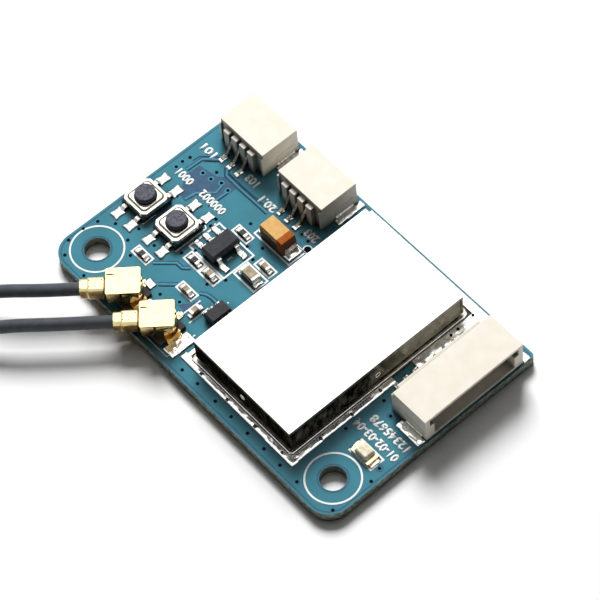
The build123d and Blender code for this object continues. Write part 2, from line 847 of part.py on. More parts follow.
def place_passives(parts):
    """The ceramic capacitors, also those under the shield, and the resistors."""
    capacitors = [(among_parts(*large_capacitor_place), large_capacitor)]
    for place in small_capacitor_places:
        capacitors.append((among_parts(*place), small_capacitor))
    capacitors.append((among_parts(*turned_capacitor_place) * Rot(0, 0, 90), small_capacitor))
    room_length, _ = room_under_shield()
    _, front_row, _, back_row = hidden_rows()
    for x in spread(room_length, [small_capacitor[1]] * hidden_capacitor_count):
        for y in (front_row, back_row):
            capacitors.append((shield_place() * Pos(x, y) * Rot(0, 0, 90), small_capacitor))
    bodies = []
    terminals = []
    for place, size in capacitors:
        body, caps = capacitor(size)
        bodies.append(place * body)
        terminals += placed(place, caps)
    parts["ceramic_capacitor_bodies"] = bodies
    parts["ceramic_capacitor_terminals"] = terminals
    bodies = []
    terminals = []
    for place in small_resistor_places:
        body, caps = resistor(small_resistor)
        bodies.append(among_parts(*place) * body)
        terminals += placed(among_parts(*place), caps)
    parts["resistor_bodies"] = bodies
    parts["resistor_terminals"] = terminals


def room_under_shield():
    """The length and width of the board's top inside the frame's wall."""
    wall = 2 * shield_sheet + lid_clearance
    return shield_length - 2 * wall, shield_width - 2 * wall


def hidden_rows():
    """The rows under the shield along Y: the radio, capacitors, the controller, capacitors."""
    _, room_width = room_under_shield()
    depths = (transceiver_body[1], small_capacitor[0], controller_body[1], small_capacitor[0])
    return spread(room_width, depths)


def place_hidden_parts(parts):
    """The radio's own chips, which the shield covers."""
    room_length, _ = room_under_shield()
    radio_row, _, controller_row, _ = hidden_rows()
    lengths = (antenna_switch_body[0], transceiver_body[0], crystal_body[0])
    switch_x, transceiver_x, crystal_x = spread(room_length, lengths)
    middle = shield_place()
    parts["transceiver_chip"] = middle * Pos(transceiver_x, radio_row) * flat_chip(transceiver_body)
    parts["controller_chip"] = middle * Pos(0, controller_row) * flat_chip(controller_body)
    parts["antenna_switch_chip"] = middle * Pos(switch_x, radio_row) * flat_chip(antenna_switch_body)
    parts["rf_crystal"] = middle * Pos(crystal_x, radio_row) * crystal()


def place_coax(parts):
    """The receptacles, the plugs on them, and the two antenna leads."""
    routes = (lead_1_route, lead_2_route)
    sides = (-1, 1)
    places = zip(receptacles_from_left, receptacles_from_front)
    for number, (from_left, from_front) in enumerate(places, start=1):
        place = on_board(from_left, from_front)
        add(parts, f"receptacle_{number}", place, receptacle())
        plug_place = place * Rot(0, 0, plug_direction_degrees)
        add(parts, f"plug_{number}", plug_place, coax_plug())
        exit_place = (plug_place * Pos(jacket_crimp_end, 0, lead_height - board_thickness)).position
        route = routes[number - 1]
        side = sides[number - 1]
        for piece_name, piece in antenna_lead(tuple(exit_place), route, side).items():
            parts[f"antenna_{piece_name}_{number}"] = piece


os.makedirs("parts", exist_ok=True)
for part_name, part_shape in build_all().items():
    if isinstance(part_shape, list):
        part_shape = Compound(children=part_shape)
    export_step(part_shape, f"parts/{part_name}.step")
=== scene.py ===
"""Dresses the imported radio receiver: antenna leads, print, solder, finishes, light and camera."""

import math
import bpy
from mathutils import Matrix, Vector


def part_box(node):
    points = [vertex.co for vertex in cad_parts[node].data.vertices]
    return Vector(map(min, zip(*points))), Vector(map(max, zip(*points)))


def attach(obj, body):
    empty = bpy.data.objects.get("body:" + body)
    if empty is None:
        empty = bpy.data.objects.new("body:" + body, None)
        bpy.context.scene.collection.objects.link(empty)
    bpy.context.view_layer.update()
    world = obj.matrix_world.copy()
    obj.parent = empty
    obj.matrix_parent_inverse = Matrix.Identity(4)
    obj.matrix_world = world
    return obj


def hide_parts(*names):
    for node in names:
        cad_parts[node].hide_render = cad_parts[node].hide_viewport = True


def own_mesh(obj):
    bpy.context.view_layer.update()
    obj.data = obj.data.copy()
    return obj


bl_info = {
    "name": "Radio receiver board",
    "version": (1, 0, 0),
    "blender": (4, 5, 0),
    "location": "3D View > Sidebar > Receiver",
    "description": "Adds leads, print, solder and finishes to the receiver's frame",
    "category": "Object",
}

import bpy
from bpy.props import FloatProperty, FloatVectorProperty, PointerProperty
from mathutils import Matrix, Vector

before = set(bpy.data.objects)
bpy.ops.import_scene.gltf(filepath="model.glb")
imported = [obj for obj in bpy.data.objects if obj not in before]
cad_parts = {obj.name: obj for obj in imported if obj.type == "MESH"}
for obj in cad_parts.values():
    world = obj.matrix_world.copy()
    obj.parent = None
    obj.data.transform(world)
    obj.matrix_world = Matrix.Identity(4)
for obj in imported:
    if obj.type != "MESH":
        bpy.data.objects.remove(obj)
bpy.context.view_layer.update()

MM = 0.001
BOARD_LOW, BOARD_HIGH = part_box("circuit_board")
HOLES = ((2.7, 3.0), (32.0, 3.0))

# Antenna leads, in metres and degrees in the frame of the model. Each lead's coil lands on the
# ground after its route, turns to one side through its sweep, and climbs onto itself at its end
LEAD_DIAMETER = 0.00113
TIP_DIAMETER = 0.00068
GROUND = LEAD_DIAMETER / 2
LEADS = (
    {
        "exit": (-0.011825, -0.011829, 0.0023),
        "route": (
            (-0.013753, -0.014127, 0.0023),
            (-0.016522, -0.017014, 0.0023),
            (-0.019916, -0.020408, 0.00062),
            (-0.021657, -0.022060, GROUND),
        ),
        "coil_centre": (-0.028837, -0.020305),
        "landing_degrees": -46.5,
        "side": -1,
        "coil_sweep": 441.9,
    },
    {
        "exit": (-0.007525, -0.011819, 0.0023),
        "route": (
            (-0.010096, -0.014883, 0.0023),
            (-0.014021, -0.019288, 0.0023),
            (-0.017138, -0.022938, 0.00062),
            (-0.018648, -0.024803, GROUND),
        ),
        "coil_centre": (-0.016335, -0.031822),
        "landing_degrees": 141.0,
        "side": 1,
        "coil_sweep": 411.2,
    },
)
COIL_STEP_DEGREES = 22.5
COIL_RADIUS = 0.006215
COIL_CLIMB_DEGREES = 52.0
COIL_TOP_HEIGHT = 0.00157
COIL_TOP_RADIUS = 0.0055
TIP_HEIGHT = 0.00149
TIP_SWEEP_DEGREES = 314.4
TIP_SETTLE_DEGREES = 60

# Print on the board, in millimetres from its left and front edges: frames as their limits, lines as
# their corners, dots and the ring as middle and diameter, and numbers as text, middle and length
PRINT_FRAMES = (
    (4.75, 6.72, 4.86, 5.83),
    (8.2, 10.13, 7.53, 8.58),
    (10.13, 12.12, 7.53, 8.58),
    (8.9, 10.85, 12.15, 13.1),
    (12.18, 14.81, 9.55, 11.21),
    (12.68, 14.67, 11.31, 12.31),
    (9.94, 11.95, 5.29, 6.22),
    (7.64, 12.15, 8.62, 12.0),
    (10.38, 14.83, 13.3, 15.2),
    (30.88, 33.53, 5.52, 7.01),
)
PRINT_LINES = (
    ((3.4, 7.25), (3.4, 8.66)),
    ((7.35, 7.52), (7.35, 10.81), (7.03, 10.94)),
    ((12.4, 5.97), (12.4, 3.93)),
    ((13.4, 5.97), (13.4, 3.93)),
    ((9.64, 0.58), (10.18, 0.58)),
    ((10.15, 0.58), (14.6, 0.58), (14.6, 3.57)),
    ((10.95, 10.0), (10.95, 10.55)),
)
PRINT_DOTS = ((7.55, 11.6, 0.16), (14.1, 7.45, 0.14))
PRINT_RING = (14.68, 15.48, 0.85, 0.1)
PRINT_NUMBERS = (
    ("101", 1.6, 16.0, 1.55),
    ("103", 6.45, 16.65, 1.3),
    ("20.1", 9.0, 16.05, 1.8),
    ("203", 13.9, 16.62, 1.4),
    ("0001", 2.15, 12.85, 1.8),
    ("000002", 5.76, 12.86, 2.95),
    ("01-02-03-04", 31.76, 7.7, 4.9),
    ("12345678", 32.15, 8.9, 4.2),
)
LETTER_SIZE = 1.036
LETTER_WEIGHT = 0.045

# Copper under the mask: bare areas and gaps that look darker, tracks that look lighter
BARE_AREAS = (
    (
        (2.06, 12.96), (2.13, 13.7), (2.19, 14.48), (3.07, 14.6), (4.04, 14.78), (4.5, 15.22), (5.82, 15.22),
        (6.07, 15.07), (6.04, 14.47), (5.4, 12.64), (4.35, 12.28), (4.09, 11.26), (3.3, 11.4),
    ),
    ((11.24, 4.32), (12.06, 5.18), (12.32, 5.9), (13.04, 5.51), (12.41, 4.41)),
)
TRACKS = (
    ((1.73, 13.41), (1.81, 15.04), (2.98, 16.18)),
    ((4.78, 14.63), (5.01, 14.47), (5.19, 13.69), (4.04, 12.41), (3.91, 11.41)),
    ((5.69, 14.51), (5.8, 14.3), (5.76, 13.34), (5.64, 12.31)),
    ((3.9, 16.0), (4.5, 15.43), (6.1, 15.39), (9.7, 15.45)),
    ((6.9, 5.48), (8.28, 6.9), (8.97, 6.92), (9.45, 7.42)),
    ((8.8, 4.48), (9.9, 5.6)),
    ((11.8, 6.35), (12.2, 6.66), (12.75, 6.8), (13.38, 6.8)),
)
GAP_LINES = (
    ((4.52, 15.7), (6.32, 15.67), (9.75, 15.79)),
    ((2.13, 14.96), (3.18, 16.02)),
    ((1.4, 14.38), (1.47, 15.07), (2.67, 16.2)),
)
TRACK_WIDTH = 0.2
TRACK_GAP = 0.13
# Lines under the mask, each as its name, lines, width, height and finish
MASK_LINES = (
    ("track_gaps", TRACKS, TRACK_WIDTH + 2 * TRACK_GAP, 0.014, "mask_over_laminate"),
    ("tracks", TRACKS, TRACK_WIDTH, 0.022, "mask_over_track"),
    ("mask_steps", GAP_LINES, 0.1, 0.02, "mask_step"),
)
# Rings under the mask, each as its diameter, the width of its line and its number of corners
VIA_PAD = (0.52, 0.1, 24)
VIA_GAP = (0.64, 0.07, 24)
HOLE_GAP = (2.56, 0.1, 72)
RING_HOLE = (0.55, 0.27, 24)
# The width of a ring's line that fills its hole, as a share of its diameter
DOT_SHARE = 0.49
# How high each kind stands over the board, so that none hides in another
BARE_HEIGHT = 0.004
GAP_HEIGHT = 0.01
PAD_HEIGHT = 0.022
VIA_HEIGHT = 0.026
# The line where the mask ends: its distance from the board's edge, the radii and steps of its corners,
# its width and its height
EDGE_INSET = 0.2
FRONT_CORNER = 1.8
BACK_CORNER = 0.25
EDGE_STEPS = 10
EDGE_LINE = 0.09
EDGE_HEIGHT = 0.008
# Covered vias, and those with a dark gap or a pale copper pad round them
VIAS = (
    (0.62, 4.75), (0.36, 3.42), (0.39, 1.84), (1.32, 0.7), (3.96, 0.58), (3.77, 5.39), (5.08, 4.6),
    (1.81, 5.68), (3.53, 6.76), (5.63, 3.39), (5.68, 6.64), (16.37, 0.71), (18.19, 0.79),
    (20.39, 0.77), (22.34, 0.78), (24.38, 0.75), (26.32, 0.78), (28.28, 0.73), (30.3, 0.74),
    (34.08, 1.13), (34.22, 4.97), (33.81, 6.21), (29.35, 6.66), (29.53, 10.51), (30.92, 9.96),
    (2.95, 14.16), (3.88, 14.25), (3.68, 15.04), (3.21, 11.11), (7.23, 11.97), (7.41, 11.23),
    (7.8, 7.79), (9.53, 13.76), (12.02, 12.9), (11.04, 12.09), (12.33, 11.61), (13.23, 16.12),
    (14.09, 16.04), (0.87, 13.67), (0.93, 12.95), (0.99, 14.4), (4.8, 14.62), (5.73, 14.53),
    (8.4, 8.77), (9.66, 3.98), (11.56, 7.36), (12.3, 8.71), (11.33, 4.64),
)
GAP_RINGED_VIAS = ((29.35, 6.66), (33.81, 6.21), (30.92, 9.96), (11.04, 12.09), (13.23, 16.12))
COPPER_RINGED_VIAS = (
    (2.95, 14.16), (3.88, 14.25), (4.8, 14.62), (5.73, 14.53), (0.87, 13.67), (0.93, 12.95), (11.33, 4.64),
)

# Solder on single pads, each as its middle, length and width, in millimetres
PAD_SOLDER = (
    (8.05, 9.39, 0.85, 0.55), (8.05, 10.34, 0.85, 0.55), (8.05, 11.29, 0.85, 0.55),
    (11.4, 9.39, 0.85, 0.6), (11.4, 11.29, 0.85, 0.62),
    (14.2, 14.35, 0.8, 1.5), (10.72, 14.35, 0.5, 1.4),
    (7.1, 20.3, 0.7, 2.9), (14.4, 20.3, 0.7, 2.9), (0.98, 20.3, 0.6, 2.9), (8.35, 20.3, 0.5, 2.9),
    (33.15, 10.03, 2.7, 0.8), (33.2, 21.22, 2.9, 0.72),
    (14.45, 2.05, 1.3, 2.5), (9.75, 2.1, 0.9, 2.3), (6.3, 2.1, 0.8, 2.3), (10.72, 2.1, 0.5, 2.3),
    (8.35, 4.0, 0.9, 0.75), (12.3, 3.95, 0.6, 0.5),
    (31.0, 6.24, 0.35, 1.05), (33.25, 6.24, 0.4, 1.05),
)
# Rows of like pads: the middle of the first, the two steps to the next, their count, length and width
PAD_ROWS = (
    (1.15, 6.48, 1.7, 0, 2, 0.8, 0.95), (1.15, 11.35, 1.7, 0, 2, 0.8, 1.0),
    (4.95, 6.68, 1.7, 0, 2, 0.8, 0.95), (4.95, 11.55, 1.7, 0, 2, 0.8, 1.0),
    (3.03, 16.3, 1, 0, 3, 0.5, 0.75), (10.37, 16.3, 1, 0, 3, 0.5, 0.75),
    (29.35, 12.17, 0, 1, 8, 0.75, 0.5),
    (13.72, 5.4, 0, 0.65, 3, 0.5, 0.36), (15.42, 5.4, 0, 0.65, 3, 0.5, 0.36),
    (5.13, 5.35, 1.2, 0, 2, 0.34, 0.5), (8.6, 8.05, 1.2, 0, 2, 0.34, 0.5),
    (9.3, 12.65, 1.2, 0, 2, 0.34, 0.5), (10.5, 8.05, 1.2, 0, 2, 0.34, 0.5),
    (10.35, 5.73, 1.2, 0, 2, 0.34, 0.5), (13.08, 11.82, 1.2, 0, 2, 0.34, 0.5),
    (12.93, 4.35, 0, 1.2, 2, 0.5, 0.34),
    (12.55, 10.38, 1.9, 0, 2, 0.42, 0.85),
)
# Solder's height, the size of its lumps, how uneven they are on pads and along the shield, and how
# far it is drawn out to the corners of a small pad
SOLDER_HEIGHT = 0.13
LUMP_SIZE = 0.42
PAD_UNEVENNESS = 0.2
FILLET_UNEVENNESS = 0.06
DRAWN_TO_CORNERS = 0.45
# Solder round the shield, each length as its middle and its two sizes
SHIELD_SOLDER = (
    (17.4, 1.72, 4.2, 0.74), (21.0, 1.68, 3.5, 0.68), (24.4, 1.7, 3.6, 0.72), (27.4, 1.66, 3.4, 0.74),
    (28.6, 3.0, 0.86, 3.3), (28.58, 6.2, 0.8, 3.5), (28.6, 9.4, 0.86, 3.3), (28.6, 11.6, 0.8, 1.6),
    (28.8, 16.1, 1.0, 3.3), (28.95, 19.6, 1.25, 4.2), (15.72, 4.0, 0.5, 4.6), (15.72, 8.9, 0.46, 4.4),
    (15.72, 13.8, 0.5, 4.6), (15.72, 18.8, 0.48, 4.4), (18.0, 21.4, 5.2, 0.92), (22.7, 21.4, 4.6, 0.92),
    (27.2, 21.4, 4.8, 0.92),
)
# The shield's foot, in millimetres on the board, the radius and steps of its corners, and the lines
# along it, each with its step out from the foot, its width and its height
SHIELD_FOOT = (15.98, 28.42, 1.78, 20.87)
FOOT_CORNER = 0.45
CORNER_STEPS = 4
FOOT_LINES = (
    ("shield_foot_rim", -0.17, 0.12, 0.26, "reflowed_solder"),
    # The dark brown line just outside the foot is painted shadow of the frame's outer edge, in the flux's
    # finish
    ("shield_foot_shadow_line", -0.04, 0.1, 0.24, "flux_residue"),
)
# The lid's dimples: their height over the board, and the two radii of the rim round each
DIMPLE_HEIGHT = 1.2
DIMPLE_RADIUS = 0.23
RIM_RADIUS = 0.04

# Pits in the solder: brown ones with their length, width, height, unevenness and mesh size, and open
# ones with a ring that fills its hole, its height over the board and its thickness
FLUX_PITS = (
    (17.75, 1.55), (21.0, 1.5), (24.35, 1.52), (27.6, 1.55), (28.75, 4.6), (28.78, 7.8), (28.7, 10.9),
)
FLUX_PIT = (0.34, 0.26)
FLUX_LUMP = (0.19, 0.1, 0.06)
SOLDER_HOLES = ((28.59, 20.93), (28.73, 19.17), (28.76, 18.39))
SOLDER_HOLE = (0.26, 0.125, 16)
SOLDER_HOLE_HEIGHT = 0.16
SOLDER_HOLE_THICKNESS = 0.02

# Plug details in millimetres, as their limits along the lead, across it and above the board, and the
# radius and steps of each kind's edges
RECEPTACLES = ((8.0, 2.12), (12.3, 2.13))
PLUG_DEGREES = 230
SLEEVE_EDGE = (0.3, 5)
FOLD_EDGE = (0.05, 2)
MARK_EDGE = (0.012, 1)
SMOOTH_DEGREES = 32
PLUG_SLEEVE = (1.7, 3.36, -0.74, 0.74, 0.58, 2.04)
PLUG_FRONT_FOLD = (-1.14, -0.94, -1.05, 1.05, 1.5, 2.1)
PLUG_SIDE_FOLDS = ((-0.95, 0.4, 1.06, 1.26, 1.3, 2.1), (0.58, 1.62, 1.08, 1.28, 0.95, 2.1))
PLUG_MARKS = ((1.14, 1.64, -0.69, -0.56, 2.2, 2.262), (-1.15, -1.1, -0.2, 0.2, 1.62, 1.92))
PLUG_SIDE_MARKS = (
    (0.41, 0.57, 1.1, 1.27, 1.2, 2.2),
    (0.4, 0.55, 1.1, 1.265, 1.45, 2.06),
    (2.0, 2.1, 0.26, 0.36, 1.9, 2.05),
    (2.5, 2.6, 0.26, 0.36, 1.9, 2.05),
    (3.0, 3.1, 0.26, 0.36, 1.9, 2.05),
)

# Nylon over the upright legs of a connector's tabs: its two heights above the board, its thickness,
# how far it reaches past the tab, its edge radius, and the axis that each connector's tabs face along
TAB_SKIN = (0.42, 1.24)
TAB_SKIN_THICKNESS = 0.02
TAB_SKIN_EDGE = 0.02
TAB_SKIN_RADIUS = 0.004
TABBED_CONNECTORS = (("output_connector_1", 0), ("output_connector_2", 0), ("channel_connector", 1))

# Softened edges: points nearer than this are one, faces within the first angle are flat, edges sharper
# than the second are rounded, and a larger radius gets more steps
WELD_DISTANCE = 0.001
FLAT_DEGREES = 1
SHARP_DEGREES = 35
LARGE_EDGE = 0.1

# The values that a noise in the materials mostly lies between
PATCH_RANGE = (0.35, 0.65)

# Floor, surround and lights, each light as its name, direction, distance, size, power in watts, and
# the kind of ray that doesn't see it
FLOOR_SIZE = 3
SURROUND_COLOUR = (0.93, 0.96, 1, 1)
SURROUND_STRENGTH = 0.8
SOFTBOXES = (
    ("key_softbox", (-0.6, 0.44, 0.67), 0.6, 0.24, 5.75, "visible_glossy"),
    ("top_card", (-0.3, 0.31, 0.9), 0.6, 0.6, 0.8, ""),
    ("gleam_card", (-0.3, 0.31, 0.9), 0.62, 0.62, 0.8, "visible_diffuse"),
    ("side_fill", (0.85, 0.3, 0.45), 0.7, 0.4, 0.06, ""),
)


def linear(hex_colour):
    """An sRGB hex colour as linear light, with full alpha."""
    channels = [int(hex_colour[place : place + 2], 16) / 255 for place in (1, 3, 5)]
    light = [c / 12.92 if c <= 0.04045 else ((c + 0.055) / 1.055) ** 2.4 for c in channels]
    return (*light, 1.0)


def add_node(tree, kind, inputs=None, **settings):
    """Adds a node, sets its properties, and sets or links its inputs; a hex colour is made linear."""
    node = tree.nodes.new(kind)
    for name, value in settings.items():
        setattr(node, name, value)
    for name, value in (inputs or {}).items():
        if isinstance(value, bpy.types.NodeSocket):
            tree.links.new(value, node.inputs[name])
        elif isinstance(value, str):
            node.inputs[name].default_value = linear(value)
        else:
            node.inputs[name].default_value = value
    return node


def patches(tree, place, size, detail=3.0, stretch=(1, 1, 1)):
    """A noise with patches of about the given size in millimetres."""
    scaled = add_node(tree, "ShaderNodeMapping", {"Vector": place.outputs["Object"], "Scale": stretch})
    noise = add_node(
        tree, "ShaderNodeTexNoise", {"Vector": scaled.outputs[0], "Scale": 1 / (size * MM), "Detail": detail}
    )
    return noise.outputs[0]


def between(tree, value, tones, low=0.0, high=1.0):
    """A colour that goes from the first tone to the second as the value goes from low to high."""
    share = add_node(tree, "ShaderNodeMapRange", {"Value": value, "From Min": low, "From Max": high})
    first, second = tones
    mix = add_node(
        tree, "ShaderNodeMix", {"Factor": share.outputs[0], "A": first, "B": second}, data_type="RGBA"
    )
    return mix.outputs["Result"]


def two_tone(tree, place, tones, size, **pattern):
    """A colour that drifts between two tones in patches of about the given size in millimetres."""
    return between(tree, patches(tree, place, size, **pattern), tones, *PATCH_RANGE)


def flatness(tree, place, limit):
    """One on a face that lies flatter than the limit, and nought on a steeper one."""
    facing = add_node(tree, "ShaderNodeSeparateXYZ", {"Vector": place.outputs["Normal"]})
    level = add_node(tree, "ShaderNodeMath", {0: facing.outputs["Z"]}, operation="ABSOLUTE")
    flat = add_node(tree, "ShaderNodeMath", {0: level.outputs[0], 1: limit}, operation="GREATER_THAN")
    return flat.outputs[0]


def grained(tree, place, grain, depth):
    """A fine bump with its grain and depth in millimetres."""
    fine = add_node(
        tree, "ShaderNodeTexNoise", {"Vector": place.outputs["Object"], "Scale": 1 / (grain * MM)}
    )
    bump = add_node(tree, "ShaderNodeBump", {"Height": fine.outputs[0], "Distance": depth * MM})
    return bump.outputs[0]


def shaded_corners(tree, colour, reach, deepest):
    """The colour with painted shade: darker where parts stand within a reach in millimetres."""
    closeness = add_node(tree, "ShaderNodeAmbientOcclusion", {"Distance": reach * MM}, samples=8)
    shade = add_node(
        tree, "ShaderNodeMapRange", {"Value": closeness.outputs["AO"], "From Min": 0.25, "To Min": deepest}
    )
    mix = add_node(
        tree,
        "ShaderNodeMix",
        {"Factor": 1.0, "A": colour, "B": shade.outputs[0]},
        data_type="RGBA",
        blend_type="MULTIPLY",
    )
    return mix.outputs["Result"]


def surface(tree, place, tones, roughness, metallic=0.0, patch=0.8, grain=0.06, depth=0.004, ior=1.5,
            spread=0.1):
    """A finish of two close tones, a drifting roughness and a fine grain; sizes are in millimetres."""
    pattern = patches(tree, place, patch)
    glossiest = max(roughness - spread, 0.02)
    gloss = add_node(
        tree, "ShaderNodeMapRange", {"Value": pattern, "To Min": glossiest, "To Max": roughness + spread}
    )
    return {
        "Base Color": between(tree, pattern, tones, *PATCH_RANGE),
        "Roughness": gloss.outputs[0],
        "Metallic": metallic,
        "Normal": grained(tree, place, grain, depth),
        "IOR": ior,
    }


def moulded_nylon(tree, place):
    """Natural nylon, injection moulded: a warm cream with a soft sheen, and painted shade in its deep slots.
    """
    cream = two_tone(tree, place, ("#ebe5d8", "#e6dfd0"), 1.2)
    return {
        "Base Color": shaded_corners(tree, cream, 1.1, 0.12),
        "Roughness": 0.55,
        "Normal": grained(tree, place, 0.08, 0.004),
        "IOR": 1.53,
    }


def solder_mask_board(tree, place):
    """Satin blue solder mask over glass-fibre laminate, whose sawn edge shows grey-green fibres."""
    blue = context_colours().mask
    deeper_blue = [channel * 0.86 for channel in blue]
    mask = two_tone(tree, place, ((*blue, 1.0), (*deeper_blue, 1.0)), 2.6, detail=1.0)
    edge = two_tone(tree, place, ("#b0b4a4", "#4c5145"), 0.4, detail=4.0, stretch=(1, 1, 2.5))
    flat = flatness(tree, place, 0.5)
    gloss = add_node(tree, "ShaderNodeMapRange", {"Value": flat, "To Min": 0.8, "To Max": 0.42})
    return {
        # Painted shade: the mask and the board's edge darken where parts stand close by
        "Base Color": shaded_corners(tree, between(tree, flat, (edge, mask)), 1.1, 0.15),
        "Roughness": gloss.outputs[0],
        "Normal": grained(tree, place, 0.12, 0.004),
        "IOR": 1.32,
    }


def tinned_lid(tree, place):
    """Tin-plated steel sheet: a bright rolled top, and bent walls with drawing marks, painted dark as
    painted reflection, paler towards the back of the right wall, with a painted highlight along their top.
    """
    scratches = patches(tree, place, 2.0)
    top = between(tree, scratches, ("#e9e8e6", "#dddcd8"), *PATCH_RANGE)
    # Painted reflection: dark wall tones, and paler ones towards the back of the right wall, where the wall
    # is also less metallic
    painted_dark_wall = two_tone(tree, place, ("#3c3c3a", "#63625f"), 0.5, stretch=(1, 1, 0.5))
    painted_pale_wall = two_tone(tree, place, ("#a39c86", "#7b7460"), 0.6, stretch=(1, 0.6, 0.6))
    facing = add_node(tree, "ShaderNodeSeparateXYZ", {"Vector": place.outputs["Normal"]})
    spot = add_node(tree, "ShaderNodeSeparateXYZ", {"Vector": place.outputs["Object"]})
    along = add_node(
        tree, "ShaderNodeMapRange", {"Value": spot.outputs["Y"], "From Min": -1 * MM, "From Max": 2.5 * MM}
    )
    side = add_node(tree, "ShaderNodeMath", {0: facing.outputs["X"], 1: 0.5}, operation="GREATER_THAN")
    pale_wall_share = add_node(tree, "ShaderNodeMath", {0: along.outputs[0], 1: side.outputs[0]}, operation="MULTIPLY")
    wall = between(tree, pale_wall_share.outputs[0], (painted_dark_wall, painted_pale_wall))
    # Painted highlight: the walls turn pale along their top edge
    paler_upper = between(tree, spot.outputs["Z"], (wall, "#b5b1a6"), 3.3 * MM, 3.6 * MM)
    wall_metallic = add_node(tree, "ShaderNodeMapRange", {"Value": pale_wall_share.outputs[0], "To Min": 1.0, "To Max": 0.35})
    bump = add_node(tree, "ShaderNodeBump", {"Height": scratches, "Distance": 0.01 * MM, "Strength": 0.4})
    return {
        "Base Color": between(tree, flatness(tree, place, 0.6), (paler_upper, top)),
        "Metallic": wall_metallic.outputs[0],
        "Specular Tint": "#84837f",
        "Roughness": 0.22,
        "Normal": bump.outputs[0],
    }


def moulded_tantalum(tree, place):
    """Moulded orange epoxy with a baked brown band at the positive end, and painted shade in dark brown on
    its lower sides.
    """
    low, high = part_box("tantalum_capacitor_body")
    band_start = high.x - 0.72 * MM
    top_start = low.z + 0.62 * (high.z - low.z)
    body = two_tone(tree, place, ("#dcb070", "#d0a263"), 0.4)
    band = two_tone(tree, place, ("#aa5a22", "#954a18"), 0.4)
    spot = add_node(tree, "ShaderNodeSeparateXYZ", {"Vector": place.outputs["Object"]})
    end = add_node(tree, "ShaderNodeMath", {0: spot.outputs["X"], 1: band_start}, operation="GREATER_THAN")
    upper = add_node(tree, "ShaderNodeMath", {0: spot.outputs["Z"], 1: top_start}, operation="GREATER_THAN")
    # Painted shade: below the upper part, the body's sides are dark brown
    side = between(tree, upper.outputs[0], ("#4a2c12", body))
    return {
        "Base Color": between(tree, end.outputs[0], (side, band)),
        "Roughness": 0.68,
        "Normal": grained(tree, place, 0.07, 0.006),
        "IOR": 1.38,
    }


def clear_lens(tree, place):
    """Clear epoxy lens over a yellow phosphor, as a small indicator has."""
    colour = two_tone(tree, place, ("#fbf3dc", "#d8cba6"), 0.5)
    return {"Base Color": colour, "Roughness": 0.12, "Transmission Weight": 0.1, "IOR": 1.52}


def drawn_frame(tree, place):
    """Drawn tin-plated frame, a darker brown on its upright wall."""
    bright = two_tone(tree, place, ("#dcd8cf", "#a29a8c"), 0.7)
    # The upright wall's darker brown tones
    upright_brown = two_tone(tree, place, ("#2a2118", "#5c5040"), 0.3)
    colour = between(tree, flatness(tree, place, 0.15), (upright_brown, bright))
    return {"Base Color": colour, "Metallic": 1.0, "Roughness": 0.2}


def charcoal_plunger(tree, place):
    """Charcoal moulded plunger: a speckled top, and a side painted nearly black as painted shade."""
    specks = patches(tree, place, 0.14)
    paler_upper = between(tree, specks, ("#65656e", "#404048"), *PATCH_RANGE)
    # Painted shade: the upright side is nearly black, darker than the top
    side = two_tone(tree, place, ("#26262a", "#1c1c20"), 0.3)
    facing = add_node(tree, "ShaderNodeSeparateXYZ", {"Vector": place.outputs["Normal"]})
    bump = add_node(tree, "ShaderNodeBump", {"Height": specks, "Distance": 0.01 * MM})
    return {
        "Base Color": between(tree, facing.outputs["Z"], (side, paler_upper), 0.3, 0.8),
        "Roughness": 0.6,
        "IOR": 1.4,
        "Normal": bump.outputs[0],
    }


def pressed_cover(tree, place):
    """Stamped stainless steel cover: bright rolled flats, and a sloped step painted a duller tan as painted
    shade.
    """
    bright = two_tone(tree, place, ("#f3efe6", "#e6e0d4"), 0.8)
    # Painted shade: the duller tan of the sloped step
    drawn = two_tone(tree, place, ("#8a7f69", "#6e6450"), 0.5)
    facing = add_node(tree, "ShaderNodeSeparateXYZ", {"Vector": place.outputs["Normal"]})
    sloped = add_node(
        tree, "ShaderNodeMath", {0: facing.outputs["Z"], 1: 0.78, 2: 0.2}, operation="COMPARE"
    )
    colour = between(tree, sloped.outputs[0], (bright, drawn))
    return {"Base Color": colour, "Metallic": 1.0, "Roughness": 0.2}


def gold_flash(tree, place):
    """Gold flash over nickel on stamped brass: pale where it lies flat, with painted amber shade on its
    upright sides.
    """
    pale = two_tone(tree, place, ("#f7e4ae", "#f3dda0"), 0.6)
    # Painted shade: the amber of the upright sides
    amber = two_tone(tree, place, ("#d8bb80", "#a08050"), 0.5)
    facing = add_node(tree, "ShaderNodeSeparateXYZ", {"Vector": place.outputs["Normal"]})
    colour = between(tree, facing.outputs["Z"], (amber, pale), 0.2, 0.75)
    return {"Base Color": colour, "Metallic": 1.0, "Roughness": 0.14}


def studio_paper(tree, place):
    """Matt white paper under the receiver."""
    return {"Base Color": (*context_colours().floor, 1), "Roughness": 0.9, "Specular IOR Level": 0.2}


